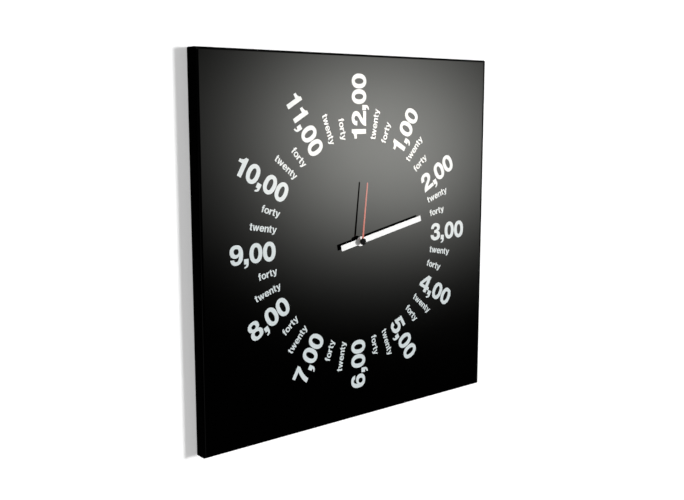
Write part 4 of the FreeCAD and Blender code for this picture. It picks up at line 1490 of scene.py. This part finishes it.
class ClockParts:
    """The carried-over parts, each dressed with the finish of its slot."""

    def build(self) -> list[bpy.types.Object]:
        """Builds every finish and dresses every part.

        Returns:
            The dressed parts.
        """
        for slot, finish in FINISHES.items():
            finish.material(slot.value)
        dressed: list[bpy.types.Object] = []
        for name, part in sorted(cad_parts.items()):
            slot = Slot(part.data.materials[0].name)
            part.material_slots[0].material = bpy.data.materials[slot.value]
            LOG.info("%s: %s", name, slot.value)
            dressed.append(part)
        return dressed


# ---- Studio and camera -------------------------------------------------------

@dataclass(frozen=True)
class SoftLight:
    """A soft light that glossy faces show, as a lobe on the world.

    Attributes:
        bearing: Degrees from +X towards -Y.
        rise: Degrees above the horizon.
        width: Spread to each side, in degrees.
        height: Spread up and down, in degrees.
        strength: Radiance at its middle.
        tint: Its colour.
    """

    bearing: float
    rise: float
    width: float
    height: float
    strength: float
    tint: Colour = (1.0, 1.0, 1.0)

    def directions(self) -> tuple[Vector, Vector, Vector]:
        """Gives the directions to its middle, across it and up it."""
        turn, lift = math.radians(self.bearing), math.radians(self.rise)
        middle = Vector((math.cos(turn) * math.cos(lift), -math.sin(turn) * math.cos(lift),
                         math.sin(lift)))
        across = Vector((-math.sin(turn), -math.cos(turn), 0.0))
        return middle, across, middle.cross(across).normalized()


GLOW_TINT: Colour = (1.014, 1.020, 0.965)


@dataclass
class Studio:
    """Pale wall, floor and lights round the clock.

    Attributes:
        ambient: World light on matt faces.
        key: Share of a white face's level that the lamp from the right gives.
        key_bearing: Degrees from the wall's normal to the lamp.
        key_rise: Degrees that the lamp stands above the horizon.
        key_spread: Angle that the lamp fills, in degrees.
        front_fill: Level that the shadowless lamp in front gives.
        front_way: The way its light travels.
        back_fill: Level that the lamp behind gives.
        back_way: The way its light travels.
        fill_spread: Angle that both of them fill, in degrees.
        wall_gap: Air between the clock's back and the wall.
        wall_width: Width of the wall.
        wall_height: Height of the wall above the floor.
        floor_depth: How far the floor reaches to each side of the wall.
        floor_level: Height of the floor.
        paint: Colour of wall and floor.
        lift: White that only the camera sees on wall and floor.
        darkest: What glossy faces show where no light stands.
        lights: What they show elsewhere.
    """

    ambient: float = 0.19
    key: float = 0.75
    key_bearing: float = 42.0
    key_rise: float = 3.0
    key_spread: float = 12.5
    front_fill: float = 0.06
    front_way: Place = (0.35, 1.0, -0.25)
    back_fill: float = 0.80
    back_way: Place = (0.30, -0.85, -0.45)
    fill_spread: float = 20.0
    wall_gap: float = 0.4 * MM
    wall_width: float = 4.0
    wall_height: float = 2.2
    floor_depth: float = 2.0
    floor_level: float = -0.85
    paint: Colour = (0.76, 0.76, 0.76)
    lift: float = 0.35
    darkest: Colour = (0.001, 0.001, 0.001)
    lights: tuple[SoftLight, ...] = (
        # To the right: the glow that the dial mirrors to the camera.
        SoftLight(44.7, -4.0, 2.6, 2.9, 1.05, GLOW_TINT),
        SoftLight(48.8, -0.9, 4.8, 3.8, 4.54, GLOW_TINT),
        SoftLight(49.6, -5.9, 4.0, 3.0, 1.08, GLOW_TINT),
        # Overhead and in front.
        SoftLight(90.0, 78.0, 18.0, 18.0, 0.25),
        SoftLight(90.0, 24.0, 11.0, 7.0, 0.8),
        # Low to the left, mirrored by the dial to someone on the right.
        SoftLight(128.0, -16.0, 8.0, 8.0, 0.2),
        SoftLight(130.0, -40.0, 14.0, 7.0, 0.6),
        # Behind the clock, for its back.
        SoftLight(-82.0, -12.0, 9.0, 9.0, 1.6),
        SoftLight(-40.0, -32.0, 9.0, 7.0, 0.8),
        SoftLight(-140.0, -42.0, 9.0, 7.0, 0.6),
    )

    def painted(self, name: str) -> bpy.types.Material:
        """Builds the studio's paint, which is seen from its good side only.

        Args:
            name: The material's name.

        Returns:
            The material.
        """
        made = bpy.data.materials.new(name)
        wiring = Wiring.cleared(made)
        matt = wiring.add("BsdfDiffuse")
        wiring.feed(matt.inputs["Color"], (*self.paint, 1.0))
        glow = wiring.add("Emission")
        camera = wiring.add("LightPath").outputs["Is Camera Ray"]
        wiring.feed(glow.inputs["Strength"], wiring.product(camera, self.lift))
        both = wiring.add("AddShader")
        wiring.feed(both.inputs[0], matt.outputs[0])
        wiring.feed(both.inputs[1], glow.outputs[0])
        sided = wiring.mix_shaders(wiring.add("NewGeometry").outputs["Backfacing"],
                                   both.outputs[0], wiring.add("BsdfTransparent").outputs[0])
        wiring.feed(wiring.add("OutputMaterial").inputs["Surface"], sided)
        return made

    def sheet(self, name: str, *corners: Place) -> None:
        """Builds one flat, painted face of the studio.

        Args:
            name: Its name.
            *corners: Its corners, anticlockwise seen from its good side.
        """
        mesh = bmesh.new()
        mesh.faces.new([mesh.verts.new(corner) for corner in corners])
        made = put_mesh(name, mesh)
        made.visible_glossy = False
        made.visible_diffuse = False
        made.visible_shadow = False
        made.data.materials.append(self.painted(name))

    def surfaces(self) -> None:
        """Builds the wall behind the clock and the floor under it."""
        half, low, deep = self.wall_width / 2.0, self.floor_level, self.floor_depth
        top, back = low + self.wall_height, self.wall_gap
        self.sheet("studio_wall", (-half, back, low), (half, back, low), (half, back, top),
                   (-half, back, top))
        self.sheet("studio_floor", (-half, -deep, low), (half, -deep, low), (half, deep, low),
                   (-half, deep, low))

    def lobe(self, wiring: Wiring, light: SoftLight, place: Socket) -> Socket:
        """Wires one soft light.

        Args:
            wiring: The world's wiring.
            light: The light.
            place: The direction looked in.

        Returns:
            Its radiance as a colour.
        """
        middle, across, upward = light.directions()
        terms = []
        for axis, spread in ((across, light.width), (upward, light.height)):
            reach = wiring.vector("DOT_PRODUCT", place, axis).outputs["Value"]
            share = wiring.value("DIVIDE", reach, math.sin(math.radians(spread)))
            terms.append(wiring.value("POWER", share, 2.0))
        fall = wiring.value("EXPONENT", wiring.product(wiring.value("ADD", *terms), -0.5))
        facing = wiring.vector("DOT_PRODUCT", place, middle).outputs["Value"]
        ahead = wiring.value("GREATER_THAN", facing, 0.0)
        glow = wiring.vector("SCALE", light.tint)
        wiring.feed(glow.inputs["Scale"], wiring.product(fall, ahead, light.strength))
        return glow.outputs[0]

    def world(self) -> None:
        """Builds the world: white to the camera, even on matt faces, lights on glossy ones."""
        made = bpy.data.worlds.new("studio")
        wiring = Wiring.cleared(made)
        place = wiring.add("TexCoord").outputs["Generated"]
        total: object = self.darkest
        for light in self.lights:
            total = wiring.vector("ADD", total, self.lobe(wiring, light, place)).outputs[0]
        white = (1.0, 1.0, 1.0, 1.0)
        shades = []
        for colour, strength in ((white, self.ambient), (total, 1.0), (white, 1.0)):
            shade = wiring.add("Background")
            wiring.feed(shade.inputs["Color"], colour)
            wiring.feed(shade.inputs["Strength"], strength)
            shades.append(shade.outputs[0])
        matt, glossy, open_view = shades
        path = wiring.add("LightPath").outputs
        seen = wiring.value("MAXIMUM", path["Is Camera Ray"], path["Is Transmission Ray"])
        lit = wiring.mix_shaders(path["Is Glossy Ray"], matt, glossy)
        wiring.feed(wiring.add("OutputWorld").inputs["Surface"],
                    wiring.mix_shaders(seen, lit, open_view))
        bpy.context.scene.world = made

    def lamp(self, name: str, towards: Vector, level: float, face: Vector,
             spread: float, shadow: bool = True) -> None:
        """Builds a distant lamp.

        Args:
            name: Its name.
            towards: The way its light travels.
            level: The level that it gives a white face.
            face: The direction that face looks in.
            spread: Angle that the lamp fills, in degrees.
            shadow: Whether it casts shadows.
        """
        data = bpy.data.lights.new(name, "SUN")
        data.angle = math.radians(spread)
        data.use_shadow = shadow
        data.energy = level * math.pi / -towards.normalized().dot(face)
        made = put(name, data)
        made.rotation_euler = towards.to_track_quat("-Z", "Y").to_euler()
        made.visible_glossy = False

    def lamps(self) -> None:
        """Builds the lamp from the right and the fills in front and behind."""
        turn, lift = math.radians(self.key_bearing), math.radians(self.key_rise)
        front = Vector((0.0, -1.0, 0.0))
        key_way = Vector((-math.sin(turn), math.cos(turn), -math.tan(lift)))
        self.lamp("key", key_way, self.key, front, self.key_spread)
        self.lamp("front_fill", Vector(self.front_way), self.front_fill, front,
                  self.fill_spread, shadow=False)
        self.lamp("back_fill", Vector(self.back_way), self.back_fill, -front,
                  self.fill_spread)

    def build(self) -> None:
        """Builds the whole studio."""
        self.surfaces()
        self.world()
        self.lamps()


@dataclass
class Viewpoint:
    """The camera.

    Attributes:
        location: Where it stands.
        pitch: Radians above the horizon that it looks; negative looks down.
        yaw: Radians that it is turned about the vertical.
        lens: Focal length in millimetres.
        sensor: Sensor width in millimetres.
    """

    location: Place = (-0.80278, -0.95401, 0.17773)
    pitch: float = -0.15337
    yaw: float = -0.69153
    lens: float = 47.898
    sensor: float = 36.0

    def build(self) -> None:
        """Builds the camera and makes it the scene's."""
        data = bpy.data.cameras.new("camera")
        data.lens = self.lens
        data.sensor_width = self.sensor
        made = put("camera", data)
        made.location = self.location
        made.rotation_euler = (math.pi / 2.0 + self.pitch, 0.0, self.yaw)
        bpy.context.scene.camera = made


def main() -> None:
    """Builds the looks in order."""
    logging.basicConfig(level=logging.INFO, format="%(name)s: %(message)s")
    bpy.context.scene.view_settings.view_transform = "Standard"
    Viewpoint().build()
    parts = ClockParts().build()
    made = DialPrint().build() + MouldedMarks().build()
    Studio().build()
    LOG.info("%d parts dressed, %d pieces made", len(parts), len(made))


if __name__ == "__main__":
    main()
